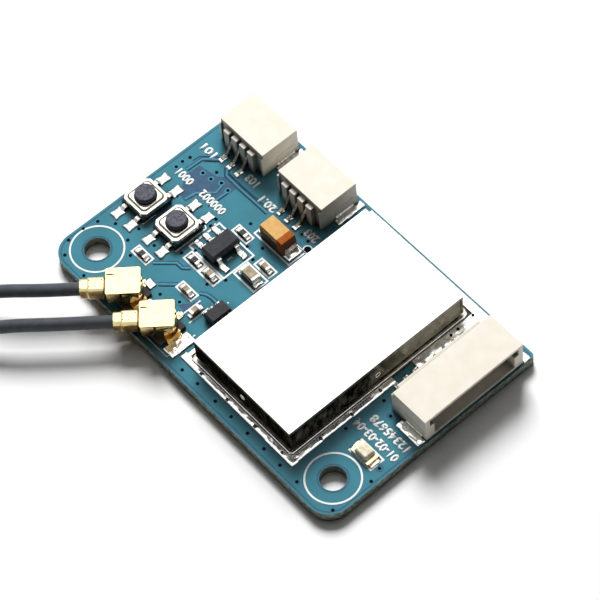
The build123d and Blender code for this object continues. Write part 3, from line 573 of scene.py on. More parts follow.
MADE_FINISHES = {
    "gold_flash": gold_flash,
    "pressed_cover": pressed_cover,
    "charcoal_plunger": charcoal_plunger,
    "moulded_nylon": moulded_nylon,
    "solder_mask": solder_mask_board,
    "tinned_lid_sheet": tinned_lid,
    "drawn_tin_frame": drawn_frame,
    "tantalum_epoxy": moulded_tantalum,
    "led_epoxy": clear_lens,
    "studio_paper": studio_paper,
}
FINISHES = {
    # Reflowed solder, frozen bright with fine pits and lumps, so it glitters from white to dark
    "reflowed_solder": {
        "tones": ("#fbfaf8", "#dbd8d1"), "roughness": 0.2, "metallic": 1.0, "patch": 0.2, "grain": 0.1,
        "depth": 0.004, "spread": 0.05,
    },
    # Tin plate on stamped contacts and terminals, bright with dull patches
    "tin_plate": {
        "tones": ("#e4e2dd", "#b3aea4"), "roughness": 0.25, "metallic": 1.0, "patch": 0.25, "grain": 0.1,
        "depth": 0.004,
    },
    # Tin plate on formed contact tails, painted dark grey as painted shade from the housing
    "contact_tails": {
        "tones": ("#8d887d", "#4b4740"), "roughness": 0.28, "metallic": 1.0, "patch": 0.2, "grain": 0.1,
        "depth": 0.004,
    },
    # Stamped stainless steel sheet, rolled smooth and slightly warm
    "stamped_steel": {
        "tones": ("#f3efe6", "#e6e0d4"), "roughness": 0.2, "metallic": 1.0, "patch": 0.8, "grain": 0.1,
        "depth": 0.003,
    },
    # Black moulded polymer of a switch base, matt
    "black_switch_base": {"tones": ("#0d0d0f", "#070708"), "roughness": 0.5, "patch": 0.4, "ior": 1.4},
    # Filled black epoxy of a chip, transfer moulded, with a fine satin texture
    "black_chip_epoxy": {
        "tones": ("#2a2a2d", "#202023"), "roughness": 0.55, "patch": 0.2, "grain": 0.05, "depth": 0.008,
        "ior": 1.5,
    },
    # Fired ceramic of a capacitor, grey-tan and satin
    "fired_ceramic": {
        "tones": ("#b5a78f", "#978970"), "roughness": 0.65, "patch": 0.4, "ior": 1.4,
    },
    # Black glass glaze over a resistor's film, glossy
    "resistor_glaze": {"tones": ("#1c1d21", "#121317"), "roughness": 0.3, "patch": 0.3},
    # White alumina under an indicator, matt
    "white_ceramic": {"tones": ("#dfdcd3", "#cfcbc0"), "roughness": 0.5, "patch": 0.4},
    # Liquid crystal polymer of a receptacle's base, satin, its own dark brown made brown-black by painted
    # shade from its plug
    "dark_polymer": {"tones": ("#2e261c", "#1f1912"), "roughness": 0.5, "patch": 0.4},
    # Extruded fluoropolymer jacket, grey, with a soft gloss along its top
    "extruded_jacket": {
        "tones": ("#484c50", "#3e4246"), "roughness": 0.46, "patch": 0.8, "grain": 0.08, "depth": 0.004,
        "ior": 1.4,
    },
    # Clear white dielectric of the cable's core, waxy
    "clear_white_core": {"tones": ("#dcdcd7", "#cbcbc4"), "roughness": 0.35, "patch": 0.6, "ior": 1.36},
    # Screen-printed epoxy ink, white and flat
    "white_ink": {"tones": ("#f4f5f2", "#e4e7e6"), "roughness": 0.6, "patch": 0.3},
    # Mask over bare laminate, greyer and darker than over copper
    "mask_over_laminate": {"tones": ("#33546e", "#2c4a64"), "roughness": 0.45, "patch": 0.5, "ior": 1.45},
    # Mask over a copper track, a little lighter than the copper area round it
    "mask_over_track": {"tones": ("#3d8c9f", "#388497"), "roughness": 0.42, "patch": 0.5, "ior": 1.45},
    # Shaded step where the mask drops between two coppers, nearly black blue
    "mask_step": {"tones": ("#123a50", "#0e3042"), "roughness": 0.5, "patch": 0.5, "ior": 1.4},
    # Near-black painted shade in the holes of covered vias, of the print ring and of the solder's pits
    "painted_pit_shade": {"tones": ("#04121c", "#020a12"), "roughness": 0.85, "patch": 0.2, "ior": 1.2},
    # Pressed-in marks and folds' gaps in the gold, too deep to catch light
    "shaded_press_mark": {"tones": ("#3a2810", "#241808"), "roughness": 0.7, "patch": 0.1, "ior": 1.3},
    # Rosin flux residue, an amber-brown glassy film
    "flux_residue": {"tones": ("#5a3d1e", "#2f1c0b"), "roughness": 0.25, "patch": 0.15, "ior": 1.5},
}


def finish(name):
    """The named finish, made at its first use."""
    made = bpy.data.materials.get(name)
    if made:
        return made
    material = bpy.data.materials.new(name)
    material.use_nodes = True
    tree = material.node_tree
    tree.nodes.clear()
    place = add_node(tree, "ShaderNodeTexCoord")
    if name in MADE_FINISHES:
        inputs = MADE_FINISHES[name](tree, place)
    else:
        inputs = surface(tree, place, **FINISHES[name])
    shader = add_node(tree, "ShaderNodeBsdfPrincipled", inputs)
    add_node(tree, "ShaderNodeOutputMaterial", {"Surface": shader.outputs[0]})
    return material


def context_colours():
    """The colours that a user may change."""
    return bpy.context.scene.receiver_colours


def context_sizes():
    """The sizes that a user may change."""
    return bpy.context.scene.receiver_sizes


def on_board(x, y):
    """A place on the board in metres, from millimetres right of its front left corner and behind it."""
    return Vector((BOARD_LOW.x + x * MM, BOARD_LOW.y + y * MM, BOARD_HIGH.z))


def deselect():
    """Leaves edit mode and selects nothing."""
    if bpy.context.object and bpy.context.object.mode != "OBJECT":
        bpy.ops.object.mode_set(mode="OBJECT")
    bpy.ops.object.select_all(action="DESELECT")


def activate(piece):
    """Selects this piece alone."""
    deselect()
    piece.select_set(True)
    bpy.context.view_layer.objects.active = piece


def primitive(add, **settings):
    """The mesh primitive that the given operator adds, with nothing else selected."""
    deselect()
    add(**settings)
    return bpy.context.object


def joined(pieces):
    """Joins several pieces into the first of them."""
    activate(pieces[0])
    for piece in pieces:
        piece.select_set(True)
    if len(pieces) > 1:
        bpy.ops.object.join()
    return bpy.context.object


def with_modifier(piece, kind, **settings):
    """Adds a modifier to the piece and applies it."""
    activate(piece)
    modifier = piece.modifiers.new(kind.title(), kind)
    for name, value in settings.items():
        setattr(modifier, name, value)
    bpy.ops.object.modifier_apply(modifier=modifier.name)


def settle(place=True):
    """Puts the active piece's turn and size into its mesh, and its place too unless told not to."""
    bpy.ops.object.transform_apply(location=place, rotation=True, scale=True)


def done(piece, name, finish_name, body="root"):
    """Puts the piece's place into its mesh, and gives it its name, finish and body."""
    activate(piece)
    settle()
    piece.name = name
    piece.data.name = name
    piece.data.materials.clear()
    piece.data.materials.append(finish(finish_name))
    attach(piece, body)
    return piece


def raised(pieces, thickness, name, finish_name):
    """Joins flat pieces, thickens them upwards by some millimetres and finishes them."""
    sheet = joined(pieces)
    with_modifier(sheet, "SOLIDIFY", thickness=thickness * MM, offset=1)
    return done(sheet, name, finish_name)


def board_curve(lines, closed, **settings):
    """A mesh at the board's top, made from one curve along lines of points on the board."""
    data = bpy.data.curves.new("board_curve", "CURVE")
    for name, value in settings.items():
        setattr(data, name, value)
    for line in lines:
        spline = data.splines.new("POLY")
        spline.points.add(len(line) - 1)
        for point, (x, y) in zip(spline.points, line):
            place = on_board(x, y)
            point.co = (place.x, place.y, 0, 1)
        spline.use_cyclic_u = closed
    piece = bpy.data.objects.new("board_curve", data)
    bpy.context.scene.collection.objects.link(piece)
    activate(piece)
    bpy.ops.object.convert(target="MESH")
    piece = bpy.context.object
    piece.location.z = BOARD_HIGH.z
    return piece


def flat_lines(lines, width, height, closed=False):
    """Low ridges along lines on the board."""
    piece = board_curve(
        lines, closed, dimensions="3D", bevel_depth=width * MM / 2, bevel_resolution=1, use_fill_caps=True
    )
    piece.scale.z = 2 * height / width
    settle()
    return piece


def flat_area(points):
    """A flat area on the board with the given corners."""
    piece = board_curve([points], True, dimensions="2D", fill_mode="BOTH")
    settle()
    return piece


def flat_rectangle(centre, x_size, y_size):
    """A flat rectangle with its middle at the given place; sizes are in metres."""
    piece = primitive(bpy.ops.mesh.primitive_plane_add, size=1, location=centre)
    piece.scale = (x_size, y_size, 1)
    settle(place=False)
    return piece


def open_outline(width):
    """Insets the active flat face and removes its middle."""
    bpy.ops.object.mode_set(mode="EDIT")
    bpy.ops.mesh.select_all(action="SELECT")
    bpy.ops.mesh.inset(thickness=width * MM)
    bpy.ops.mesh.delete(type="FACE")
    bpy.ops.object.mode_set(mode="OBJECT")


def ink_frame(x_low, x_high, y_low, y_high, width):
    """A printed rectangle, as a flat outline."""
    centre = on_board((x_low + x_high) / 2, (y_low + y_high) / 2)
    piece = flat_rectangle(centre, (x_high - x_low) * MM, (y_high - y_low) * MM)
    open_outline(width)
    return piece


def ink_ring(x, y, diameter, width, vertices=72):
    """A printed ring, as a flat outline."""
    piece = primitive(
        bpy.ops.mesh.primitive_circle_add,
        vertices=vertices,
        radius=diameter * MM / 2,
        fill_type="NGON",
        location=on_board(x, y),
    )
    open_outline(width)
    return piece


def number(text, x, y, length):
    """Printed digits that read from the back edge of the board, as flat letters."""
    deselect()
    bpy.ops.object.text_add(location=on_board(x, y), rotation=(0, 0, math.pi))
    piece = bpy.context.object
    piece.data.body = text
    piece.data.size = LETTER_SIZE * MM
    piece.data.align_x = "CENTER"
    piece.data.align_y = "CENTER"
    piece.data.resolution_u = 3
    piece.data.offset = LETTER_WEIGHT * MM
    bpy.ops.object.convert(target="MESH")
    piece = bpy.context.object
    piece.scale.x = length * MM / piece.dimensions.x
    settle()
    return piece


def solder_lumps(pads, thickness, unevenness=PAD_UNEVENNESS, cell=0.11, drawn=0.0):
    """Low lumps of solder on pads given by their middles, lengths and widths, drawn out to the corners."""
    pieces = []
    for x, y, length, width in pads:
        piece = primitive(
            bpy.ops.mesh.primitive_grid_add,
            x_subdivisions=max(4, round(length / cell)),
            y_subdivisions=max(4, round(width / cell)),
            size=1,
            location=on_board(x, y),
        )
        piece.scale = (length * MM, width * MM, 1)
        settle(place=False)
        if drawn:
            with_modifier(piece, "CAST", cast_type="CYLINDER", use_z=False, factor=-drawn)
        settle()
        pieces.append(piece)
    lumps = joined(pieces)
    with_modifier(lumps, "SOLIDIFY", thickness=thickness * MM, offset=1)
    with_modifier(lumps, "SMOOTH", factor=0.5, iterations=4)
    texture = bpy.data.textures.new("solder_lumps", "CLOUDS")
    texture.noise_scale = LUMP_SIZE * MM
    with_modifier(
        lumps, "DISPLACE", texture=texture, strength=unevenness * MM, mid_level=0.5, texture_coords="LOCAL"
    )
    activate(lumps)
    bpy.ops.object.shade_smooth()
    return lumps


def round_frame(step_out):
    """Points along a rectangle with rounded corners, some millimetres outside the shield's foot."""
    x_low, x_high, y_low, y_high = SHIELD_FOOT
    radius = FOOT_CORNER + step_out
    middles = (
        (x_high - FOOT_CORNER, y_high - FOOT_CORNER, 0),
        (x_low + FOOT_CORNER, y_high - FOOT_CORNER, 90),
        (x_low + FOOT_CORNER, y_low + FOOT_CORNER, 180),
        (x_high - FOOT_CORNER, y_low + FOOT_CORNER, 270),
    )
    points = []
    for x, y, start in middles:
        for step in range(CORNER_STEPS + 1):
            angle = math.radians(start + step * 90 / CORNER_STEPS)
            points.append((x + radius * math.cos(angle), y + radius * math.sin(angle)))
    return points


def dimple_rims():
    """Raised rims pressed round the dimples in the lid's four walls."""
    low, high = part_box("shield_lid")
    middle = (low + high) / 2
    across = math.pi / 2
    rims = []
    for x, y, turn in (
        (middle.x, low.y, (across, 0, 0)),
        (middle.x, high.y, (across, 0, 0)),
        (low.x, middle.y, (0, across, 0)),
        (high.x, middle.y, (0, across, 0)),
    ):
        rim = primitive(
            bpy.ops.mesh.primitive_torus_add,
            location=(x, y, BOARD_HIGH.z + DIMPLE_HEIGHT * MM),
            rotation=turn,
            major_radius=DIMPLE_RADIUS * MM,
            minor_radius=RIM_RADIUS * MM,
            major_segments=24,
            minor_segments=8,
        )
        rims.append(rim)
    return joined(rims)


def rounded_boxes(boxes, edge, segments):
    """Boxes joined into one piece with rounded edges; each gives its low and high limits on three axes."""
    pieces = []
    for x_low, x_high, y_low, y_high, z_low, z_high in boxes:
        middle = Vector((x_low + x_high, y_low + y_high, z_low + z_high)) / 2
        piece = primitive(bpy.ops.mesh.primitive_cube_add, size=1, location=middle * MM)
        piece.scale = ((x_high - x_low) * MM, (y_high - y_low) * MM, (z_high - z_low) * MM)
        settle()
        pieces.append(piece)
    piece = joined(pieces)
    with_modifier(piece, "BEVEL", width=edge * MM, segments=segments)
    return piece


def both_sides(boxes):
    """The boxes and their mirror images across the lead."""
    mirrored = [(box[0], box[1], -box[3], -box[2], *box[4:]) for box in boxes]
    return [*boxes, *mirrored]


def cord_curve(name, points, diameter, finish_name):
    """A round cord as one smooth open spline."""
    data = bpy.data.curves.new(name, "CURVE")
    data.dimensions = "3D"
    data.bevel_depth = diameter / 2
    data.bevel_resolution = 6
    data.resolution_u = 8
    data.use_fill_caps = True
    spline = data.splines.new("NURBS")
    spline.points.add(len(points) - 1)
    for point, place in zip(spline.points, points):
        point.co = (*place, 1)
    spline.order_u = 3
    spline.use_endpoint_u = True
    piece = bpy.data.objects.new(name, data)
    bpy.context.scene.collection.objects.link(piece)
    data.materials.append(finish(finish_name))
    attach(piece, "root")
    return piece


def round_coil(centre, first_degrees, side, start, end, radius_at, height_at):
    """Points round a coil from one sweep to another, each as far out as its smooth line needs."""

    def point(sweep, reach):
        angle = math.radians(first_degrees + side * sweep)
        radius = radius_at(sweep) * reach
        x, y = centre
        return (x + radius * math.cos(angle), y + radius * math.sin(angle), height_at(sweep))

    reach = 1 / math.cos(math.radians(COIL_STEP_DEGREES / 2))
    points = []
    sweep = start + COIL_STEP_DEGREES / 2
    while sweep < end - COIL_STEP_DEGREES / 4:
        points.append(point(sweep, reach))
        sweep += COIL_STEP_DEGREES
    return [*points, point(end, 1)]


class ReceiverSizes(bpy.types.PropertyGroup):
    """Sizes that a user may change."""

    ink_width: FloatProperty(
        name="Ink width", description="Width of a printed line, in millimetres", default=0.16, min=0.02
    )
    ink_height: FloatProperty(
        name="Ink height", description="Thickness of the ink, in millimetres", default=0.02, min=0.002
    )
    hole_ring: FloatProperty(
        name="Hole ring", description="Diameter of the ring round a hole, in millimetres", default=4.66
    )
    via_diameter: FloatProperty(
        name="Via diameter", description="Diameter of a covered via, in millimetres", default=0.28
    )
    camera_distance: FloatProperty(
        name="Camera distance",
        description="From the camera to the point it looks at",
        default=0.242107,
        unit="LENGTH",
    )
    camera_lens: FloatProperty(
        name="Camera lens", description="Focal length in millimetres", default=179.37, min=10
    )


class ReceiverColours(bpy.types.PropertyGroup):
    """Colours that a user may change."""

    mask: FloatVectorProperty(
        name="Solder mask",
        description="Colour of the board's solder mask",
        subtype="COLOR",
        size=3,
        default=linear("#3d7e8e")[:3],
    )
    floor: FloatVectorProperty(
        name="Floor",
        description="Colour of the studio floor",
        subtype="COLOR",
        size=3,
        default=linear("#f7f7f7")[:3],
    )


class PlaceCamera(bpy.types.Operator):
    """Places the camera at the photograph's angle"""

    bl_idname = "receiver.camera"
    bl_label = "Camera"

    azimuth = 55.19
    elevation = 57.673
    roll = -7.368
    target = Vector((0.000027, 0.001216, 0))

    def execute(self, context):
        azimuth, elevation, roll = (math.radians(a) for a in (self.azimuth, self.elevation, self.roll))
        back = Vector(
            (
                math.sin(azimuth) * math.cos(elevation),
                -math.cos(azimuth) * math.cos(elevation),
                math.sin(elevation),
            )
        )
        right = Vector((math.cos(azimuth), math.sin(azimuth), 0))
        up = back.cross(right)
        turned_right = right * math.cos(roll) + up * math.sin(roll)
        turned_up = -right * math.sin(roll) + up * math.cos(roll)
        data = bpy.data.cameras.new("photo_camera")
        data.lens = context.scene.receiver_sizes.camera_lens
        data.sensor_width = 36
        data.clip_start = 0.005
        data.clip_end = 20
        camera = bpy.data.objects.new("photo_camera", data)
        context.scene.collection.objects.link(camera)
        turn = Matrix((turned_right, turned_up, back)).transposed().to_4x4()
        place = self.target + back * context.scene.receiver_sizes.camera_distance
        camera.matrix_world = Matrix.Translation(place) @ turn
        context.scene.camera = camera
        return {"FINISHED"}


class AddAntennaLeads(bpy.types.Operator):
    """Lays the two antenna leads from their plugs to neat coils, each with its bare tip"""

    bl_idname = "receiver.antenna_leads"
    bl_label = "Antenna leads"

    def execute(self, context):
        for place, lead in enumerate(LEADS, start=1):
            self.lay(place, lead)
        return {"FINISHED"}

    def lay(self, place, lead):
        """One jacket along its route into its coil, and the tip that lies on the coil."""
        sweep_end = lead["coil_sweep"]
        coil = (lead["coil_centre"], lead["landing_degrees"], lead["side"])

        def ring(sweep):
            return COIL_RADIUS - LEAD_DIAMETER * sweep / 360

        def climbed(sweep):
            return max(0.0, (sweep - sweep_end + COIL_CLIMB_DEGREES) / COIL_CLIMB_DEGREES)

        def settled(sweep):
            return min(1.0, (sweep - sweep_end) / TIP_SETTLE_DEGREES)

        def radius(sweep):
            return ring(sweep) + (COIL_TOP_RADIUS - ring(sweep)) * climbed(sweep) ** 2

        def height(sweep):
            return GROUND + (COIL_TOP_HEIGHT - GROUND) * climbed(sweep)

        def tip_radius(sweep):
            return COIL_TOP_RADIUS + (ring(sweep - 360) - COIL_TOP_RADIUS) * settled(sweep)

        def tip_height(sweep):
            return COIL_TOP_HEIGHT + (TIP_HEIGHT - COIL_TOP_HEIGHT) * settled(sweep)

        points = [lead["exit"], *lead["route"], *round_coil(*coil, 0, sweep_end, radius, height)]
        jacket = cord_curve(
            f"antenna_jacket_{place}", points, LEAD_DIAMETER, "extruded_jacket"
        )
        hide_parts(f"antenna_lead_{place}", f"antenna_coil_{place}")
        end = points[-1]
        tip_end = sweep_end + TIP_SWEEP_DEGREES
        tip_points = [end, *round_coil(*coil, sweep_end, tip_end, tip_radius, tip_height)]
        tip = cord_curve(f"antenna_core_{place}", tip_points, TIP_DIAMETER, "clear_white_core")
        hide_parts(f"antenna_tip_{place}")


# Each finish, the radius of its softened edges in millimetres, and the nodes that have both. A name
# that starts or ends with an underscore stands for all the nodes that end or start with it
NODE_FINISHES = (
    ("solder_mask", 0, ("circuit_board",)),
    ("tinned_lid_sheet", 0.2, ("shield_lid",)),
    ("drawn_tin_frame", 0.07, ("shield_frame",)),
    ("reflowed_solder", 0, ("shield_solder",)),
    ("moulded_nylon", 0.05, ("_housing",)),
    ("contact_tails", 0.02, ("_contacts", "tantalum_capacitor_terminals")),
    ("tin_plate", 0.02, ("_tabs", "_leads", "button_1_terminals", "button_2_terminals", "rf_crystal")),
    ("tin_plate", 0.03, ("ceramic_capacitor_terminals", "resistor_terminals")),
    ("pressed_cover", 0.03, ("_cover",)),
    ("black_switch_base", 0, ("button_1_base", "button_2_base")),
    ("charcoal_plunger", 0, ("_plunger",)),
    ("stamped_steel", 0, ("_dome",)),
    ("black_chip_epoxy", 0.04, ("regulator_body",)),
    ("black_chip_epoxy", 0.03, ("logic_chip_body",)),
    ("black_chip_epoxy", 0.02, ("_chip",)),
    ("tantalum_epoxy", 0.05, ("tantalum_capacitor_body",)),
    ("fired_ceramic", 0.02, ("ceramic_capacitor_bodies",)),
    ("resistor_glaze", 0.02, ("resistor_bodies",)),
    ("white_ceramic", 0, ("led_substrate",)),
    ("led_epoxy", 0.16, ("led_lens",)),
    ("dark_polymer", 0.03, ("receptacle_1_base", "receptacle_2_base")),
    ("gold_flash", 0, ("receptacle_1_shell", "receptacle_2_shell", "_pin")),
    ("gold_flash", 0, ("plug_1_contact", "plug_2_contact")),
    ("gold_flash", 0.02, ("led_terminals",)),
    ("gold_flash", 0.05, ("plug_1_shell", "plug_2_shell")),
    ("clear_white_core", 0, ("_insulator",)),
    ("extruded_jacket", 0, ("antenna_",)),
)


class DressNodes(bpy.types.Operator):
    """Gives every solid of the frame its finish, and softens the edges of moulded and folded ones"""

    bl_idname = "receiver.nodes"
    bl_label = "Finishes of the solids"

    def execute(self, context):
        for name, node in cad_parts.items():
            finish_name, edge = self.choose(name)
            node.data.materials.clear()
            node.data.materials.append(finish(finish_name))
            if edge:
                self.soften(node, edge * MM)
        for place in (1, 2):
            self.flatten_dome(place)
        return {"FINISHED"}

    def choose(self, name):
        """The finish and edge radius of the first rule that fits a node's name."""
        for finish_name, edge, keys in NODE_FINISHES:
            for key in keys:
                ending = key.startswith("_") and name.endswith(key)
                beginning = key.endswith("_") and name.startswith(key)
                if name == key or ending or beginning:
                    return finish_name, edge
        raise RuntimeError("no finish is set for " + name)

    def soften(self, node, edge):
        """Rounds the sharp edges of a solid, which stays as it is underneath."""
        weld = node.modifiers.new("Weld", "WELD")
        weld.merge_threshold = WELD_DISTANCE * MM
        flat = node.modifiers.new("Flat faces", "DECIMATE")
        flat.decimate_type = "DISSOLVE"
        flat.angle_limit = math.radians(FLAT_DEGREES)
        bevel = node.modifiers.new("Edges", "BEVEL")
        bevel.width = edge
        bevel.segments = 4 if edge > LARGE_EDGE * MM else 2
        bevel.limit_method = "ANGLE"
        bevel.angle_limit = math.radians(SHARP_DEGREES)

    def flatten_dome(self, number):
        """A copy of a button's snap dome, which takes the node's place with its own mesh."""
        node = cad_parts[f"button_{number}_dome"]
        activate(node)
        bpy.ops.object.duplicate()
        dome = bpy.context.object
        done(dome, f"button_{number}_snap_dome", "stamped_steel")
        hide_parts(node.name)
        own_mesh(dome)


class AddPrint(bpy.types.Operator):
    """Prints the white outlines, bars, dots and plain numbers on the board"""

    bl_idname = "receiver.print"
    bl_label = "Print"

    def execute(self, context):
        sizes = context_sizes()
        ink = [ink_frame(*limits, sizes.ink_width) for limits in PRINT_FRAMES]
        ink += [ink_ring(x, y, sizes.hole_ring, sizes.ink_width) for x, y in HOLES]
        ink.append(ink_ring(*PRINT_RING))
        ink += [ink_ring(x, y, diameter, diameter * DOT_SHARE, 24) for x, y, diameter in PRINT_DOTS]
        ink += [number(*place) for place in PRINT_NUMBERS]
        raised(ink, sizes.ink_height, "board_print", "white_ink")
        bars = flat_lines(PRINT_LINES, sizes.ink_width, sizes.ink_height)
        done(bars, "board_print_bars", "white_ink")
        return {"FINISHED"}


class AddMaskLines(bpy.types.Operator):
    """Adds the bare areas, tracks and steps under the mask, and the covered vias"""

    bl_idname = "receiver.mask_lines"
    bl_label = "Mask over copper"

    def execute(self, context):
        bare = [flat_area(points) for points in BARE_AREAS]
        raised(bare, BARE_HEIGHT, "bare_areas", "mask_over_laminate")
        for name, lines, width, height, finish_name in MASK_LINES:
            done(flat_lines(lines, width, height), name, finish_name)
        copper = [ink_ring(x, y, *VIA_PAD) for x, y in COPPER_RINGED_VIAS]
        raised(copper, PAD_HEIGHT, "via_pads", "mask_over_track")
        gaps = [ink_ring(x, y, *VIA_GAP) for x, y in GAP_RINGED_VIAS]
        gaps += [ink_ring(x, y, *HOLE_GAP) for x, y in HOLES]
        raised(gaps, GAP_HEIGHT, "mask_rings", "mask_over_laminate")
        diameter = context_sizes().via_diameter
        # Painted shade: near-black dots in the covered vias and in the print ring's hole
        dots = [ink_ring(x, y, diameter, diameter * DOT_SHARE, 20) for x, y in VIAS]
        dots.append(ink_ring(*PRINT_RING[:2], *RING_HOLE))
        raised(dots, VIA_HEIGHT, "covered_vias", "painted_pit_shade")
        self.edge_line()
        return {"FINISHED"}

    def edge_line(self):
        """The line a little inside the board's edge, where the mask ends."""
        centre = (BOARD_LOW + BOARD_HIGH) / 2
        size = BOARD_HIGH - BOARD_LOW
        x_size = size.x - 2 * EDGE_INSET * MM
        y_size = size.y - 2 * EDGE_INSET * MM
        piece = flat_rectangle((centre.x, centre.y, BOARD_HIGH.z), x_size, y_size)
        for front, radius in ((True, FRONT_CORNER), (False, BACK_CORNER)):
            bpy.ops.object.mode_set(mode="EDIT")
            bpy.ops.mesh.select_all(action="DESELECT")
            bpy.ops.object.mode_set(mode="OBJECT")
            for vertex in piece.data.vertices:
                at_front = vertex.co.y < 0
                at_corner = abs(abs(vertex.co.x) - x_size / 2) < WELD_DISTANCE * MM
                vertex.select = at_front == front and at_corner
            bpy.ops.object.mode_set(mode="EDIT")
            bpy.ops.mesh.bevel(offset=radius * MM, segments=EDGE_STEPS, affect="VERTICES")
            bpy.ops.object.mode_set(mode="OBJECT")
        open_outline(EDGE_LINE)
        raised([piece], EDGE_HEIGHT, "mask_edge_line", "mask_over_laminate")


class AddSolder(bpy.types.Operator):
    """Adds the solder on every pad and round the shield, with its flux and pits"""

    bl_idname = "receiver.solder"
    bl_label = "Solder"

    def execute(self, context):
        small_pads = [
            (x + place * x_step, y + place * y_step, length, width)
            for x, y, x_step, y_step, count, length, width in PAD_ROWS
            for place in range(count)
        ]
        plain = solder_lumps(PAD_SOLDER, SOLDER_HEIGHT)
        drawn = solder_lumps(small_pads, SOLDER_HEIGHT, drawn=DRAWN_TO_CORNERS)
        done(joined([plain, drawn]), "pad_solder", "reflowed_solder")
        rim = solder_lumps(SHIELD_SOLDER, SOLDER_HEIGHT, FILLET_UNEVENNESS)
        done(rim, "shield_solder_fillet", "reflowed_solder")
        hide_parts("shield_solder")
        for name, step_out, width, height, finish_name in FOOT_LINES:
            line = flat_lines([round_frame(step_out)], width, height, closed=True)
            done(line, name, finish_name)
        done(dimple_rims(), "shield_dimple_rims", "stamped_steel")
        flux = solder_lumps([(x, y, *FLUX_PIT) for x, y in FLUX_PITS], *FLUX_LUMP)
        done(flux, "flux_pits", "flux_residue")
        # Painted shade: near-black rings in the solder's pits
        holes = joined([ink_ring(x, y, *SOLDER_HOLE) for x, y in SOLDER_HOLES])
        holes.location.z += SOLDER_HOLE_HEIGHT * MM
        raised([holes], SOLDER_HOLE_THICKNESS, "solder_pits", "painted_pit_shade")
        return {"FINISHED"}


class AddPlugFolds(bpy.types.Operator):
    """Adds the pressed sleeve, folded sides and press marks of each plug"""

    bl_idname = "receiver.plug_folds"
    bl_label = "Plug folds"

    def execute(self, context):
        for place, (x, y) in enumerate(RECEPTACLES, start=1):
            sleeve = rounded_boxes([PLUG_SLEEVE], *SLEEVE_EDGE)
            sides = rounded_boxes([PLUG_FRONT_FOLD, *both_sides(PLUG_SIDE_FOLDS)], *FOLD_EDGE)
            folds = joined([sleeve, sides])
            self.turn_to_plug(folds, x, y)
            bpy.ops.object.shade_smooth_by_angle(angle=math.radians(SMOOTH_DEGREES))
            done(folds, f"plug_{place}_folds", "gold_flash")
            marks = rounded_boxes([*PLUG_MARKS, *both_sides(PLUG_SIDE_MARKS)], *MARK_EDGE)
            self.turn_to_plug(marks, x, y)
            done(marks, f"plug_{place}_press_marks", "shaded_press_mark")
        return {"FINISHED"}

    def turn_to_plug(self, piece, x, y):
        """Puts a piece made round the origin onto the plug on the receptacle at x, y."""
        activate(piece)
        piece.rotation_euler = (0, 0, math.radians(PLUG_DEGREES))
        piece.location = on_board(x, y)


class AddTabSkins(bpy.types.Operator):
    """Adds the nylon that covers the upright legs of each connector's tabs"""

    bl_idname = "receiver.tab_skins"
    bl_label = "Tab skins"

    def execute(self, context):
        upright = [BOARD_HIGH.z / MM + height for height in TAB_SKIN]
        for connector, facing in TABBED_CONNECTORS:
            housing = [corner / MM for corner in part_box(connector + "_housing")]
            tabs = [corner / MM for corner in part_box(connector + "_tabs")]
            across = 1 - facing
            limits = []
            for side, corner in zip((-1, 1), housing):
                middle = corner[facing] + side * TAB_SKIN_THICKNESS / 2
                spans = [None, None]
                spans[facing] = (middle - TAB_SKIN_THICKNESS, middle + TAB_SKIN_THICKNESS / 2)
                spans[across] = (tabs[0][across] - TAB_SKIN_EDGE, tabs[1][across] + TAB_SKIN_EDGE)
                limits.append((*spans[0], *spans[1], *upright))
            skins = rounded_boxes(limits, TAB_SKIN_RADIUS, 1)
            done(skins, connector + "_tab_skins", "moulded_nylon")
        return {"FINISHED"}


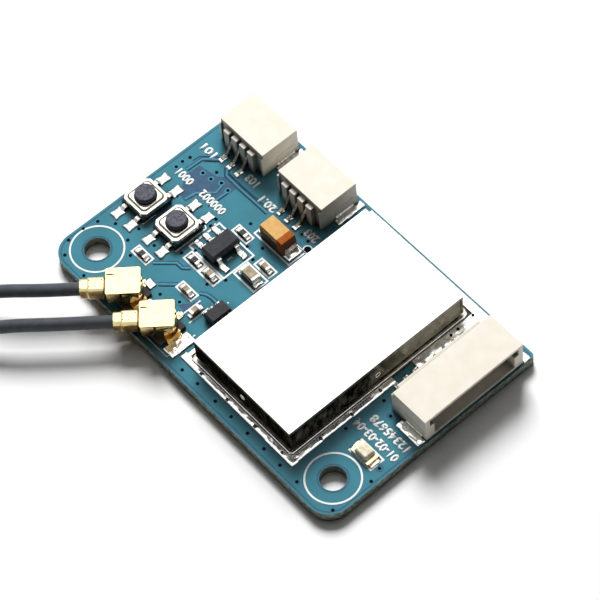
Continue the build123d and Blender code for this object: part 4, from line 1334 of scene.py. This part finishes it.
class AddStage(bpy.types.Operator):
    """Adds the pale floor, the key light and its card, and the pale surround that only gleams show"""

    bl_idname = "receiver.stage"
    bl_label = "Stage"

    def execute(self, context):
        floor = primitive(bpy.ops.mesh.primitive_plane_add, size=FLOOR_SIZE, location=(0, 0, 0))
        floor.name = "studio_floor"
        floor.data.materials.append(finish("studio_paper"))
        for name, direction, distance, size, power, unseen in SOFTBOXES:
            light = self.softbox(name, direction, distance, size, power)
            if unseen:
                setattr(light, unseen, False)
        world = bpy.data.worlds.new("studio_surround")
        world.use_nodes = True
        background = world.node_tree.nodes["Background"]
        background.inputs["Color"].default_value = SURROUND_COLOUR
        background.inputs["Strength"].default_value = SURROUND_STRENGTH
        world.cycles_visibility.diffuse = False
        context.scene.world = world
        context.scene.view_settings.view_transform = "Standard"
        return {"FINISHED"}

    def softbox(self, name, direction, distance, size, power):
        """One square light that looks at the receiver from the given direction."""
        data = bpy.data.lights.new(name, "AREA")
        data.shape = "SQUARE"
        data.size = size
        data.energy = power
        light = bpy.data.objects.new(name, data)
        aim = Vector(direction).normalized()
        light.location = aim * distance
        light.rotation_mode = "QUATERNION"
        light.rotation_quaternion = aim.to_track_quat("Z", "Y")
        bpy.context.scene.collection.objects.link(light)
        return light


OPERATORS = (
    PlaceCamera,
    AddAntennaLeads,
    DressNodes,
    AddPrint,
    AddMaskLines,
    AddSolder,
    AddPlugFolds,
    AddTabSkins,
    AddStage,
)


class ReceiverPanel(bpy.types.Panel):
    """Lists the steps that dress the receiver"""

    bl_idname = "VIEW3D_PT_receiver"
    bl_label = "Receiver"
    bl_space_type = "VIEW_3D"
    bl_region_type = "UI"
    bl_category = "Receiver"

    def draw(self, context):
        for operator in OPERATORS:
            self.layout.operator(operator.bl_idname)
        for group in (context.scene.receiver_sizes, context.scene.receiver_colours):
            for name in group.__annotations__:
                self.layout.prop(group, name)


CLASSES = (ReceiverSizes, ReceiverColours, *OPERATORS, ReceiverPanel)


def register():
    """Registers the classes and their settings."""
    for item in CLASSES:
        bpy.utils.register_class(item)
    bpy.types.Scene.receiver_sizes = PointerProperty(type=ReceiverSizes)
    bpy.types.Scene.receiver_colours = PointerProperty(type=ReceiverColours)


def unregister():
    """Removes the settings and the classes."""
    del bpy.types.Scene.receiver_colours
    del bpy.types.Scene.receiver_sizes
    for item in reversed(CLASSES):
        bpy.utils.unregister_class(item)


def main():
    """Runs every step in order."""
    register()
    for operator in OPERATORS:
        group, name = operator.bl_idname.split(".")
        getattr(getattr(bpy.ops, group), name)()


if __name__ == "__main__":
    main()
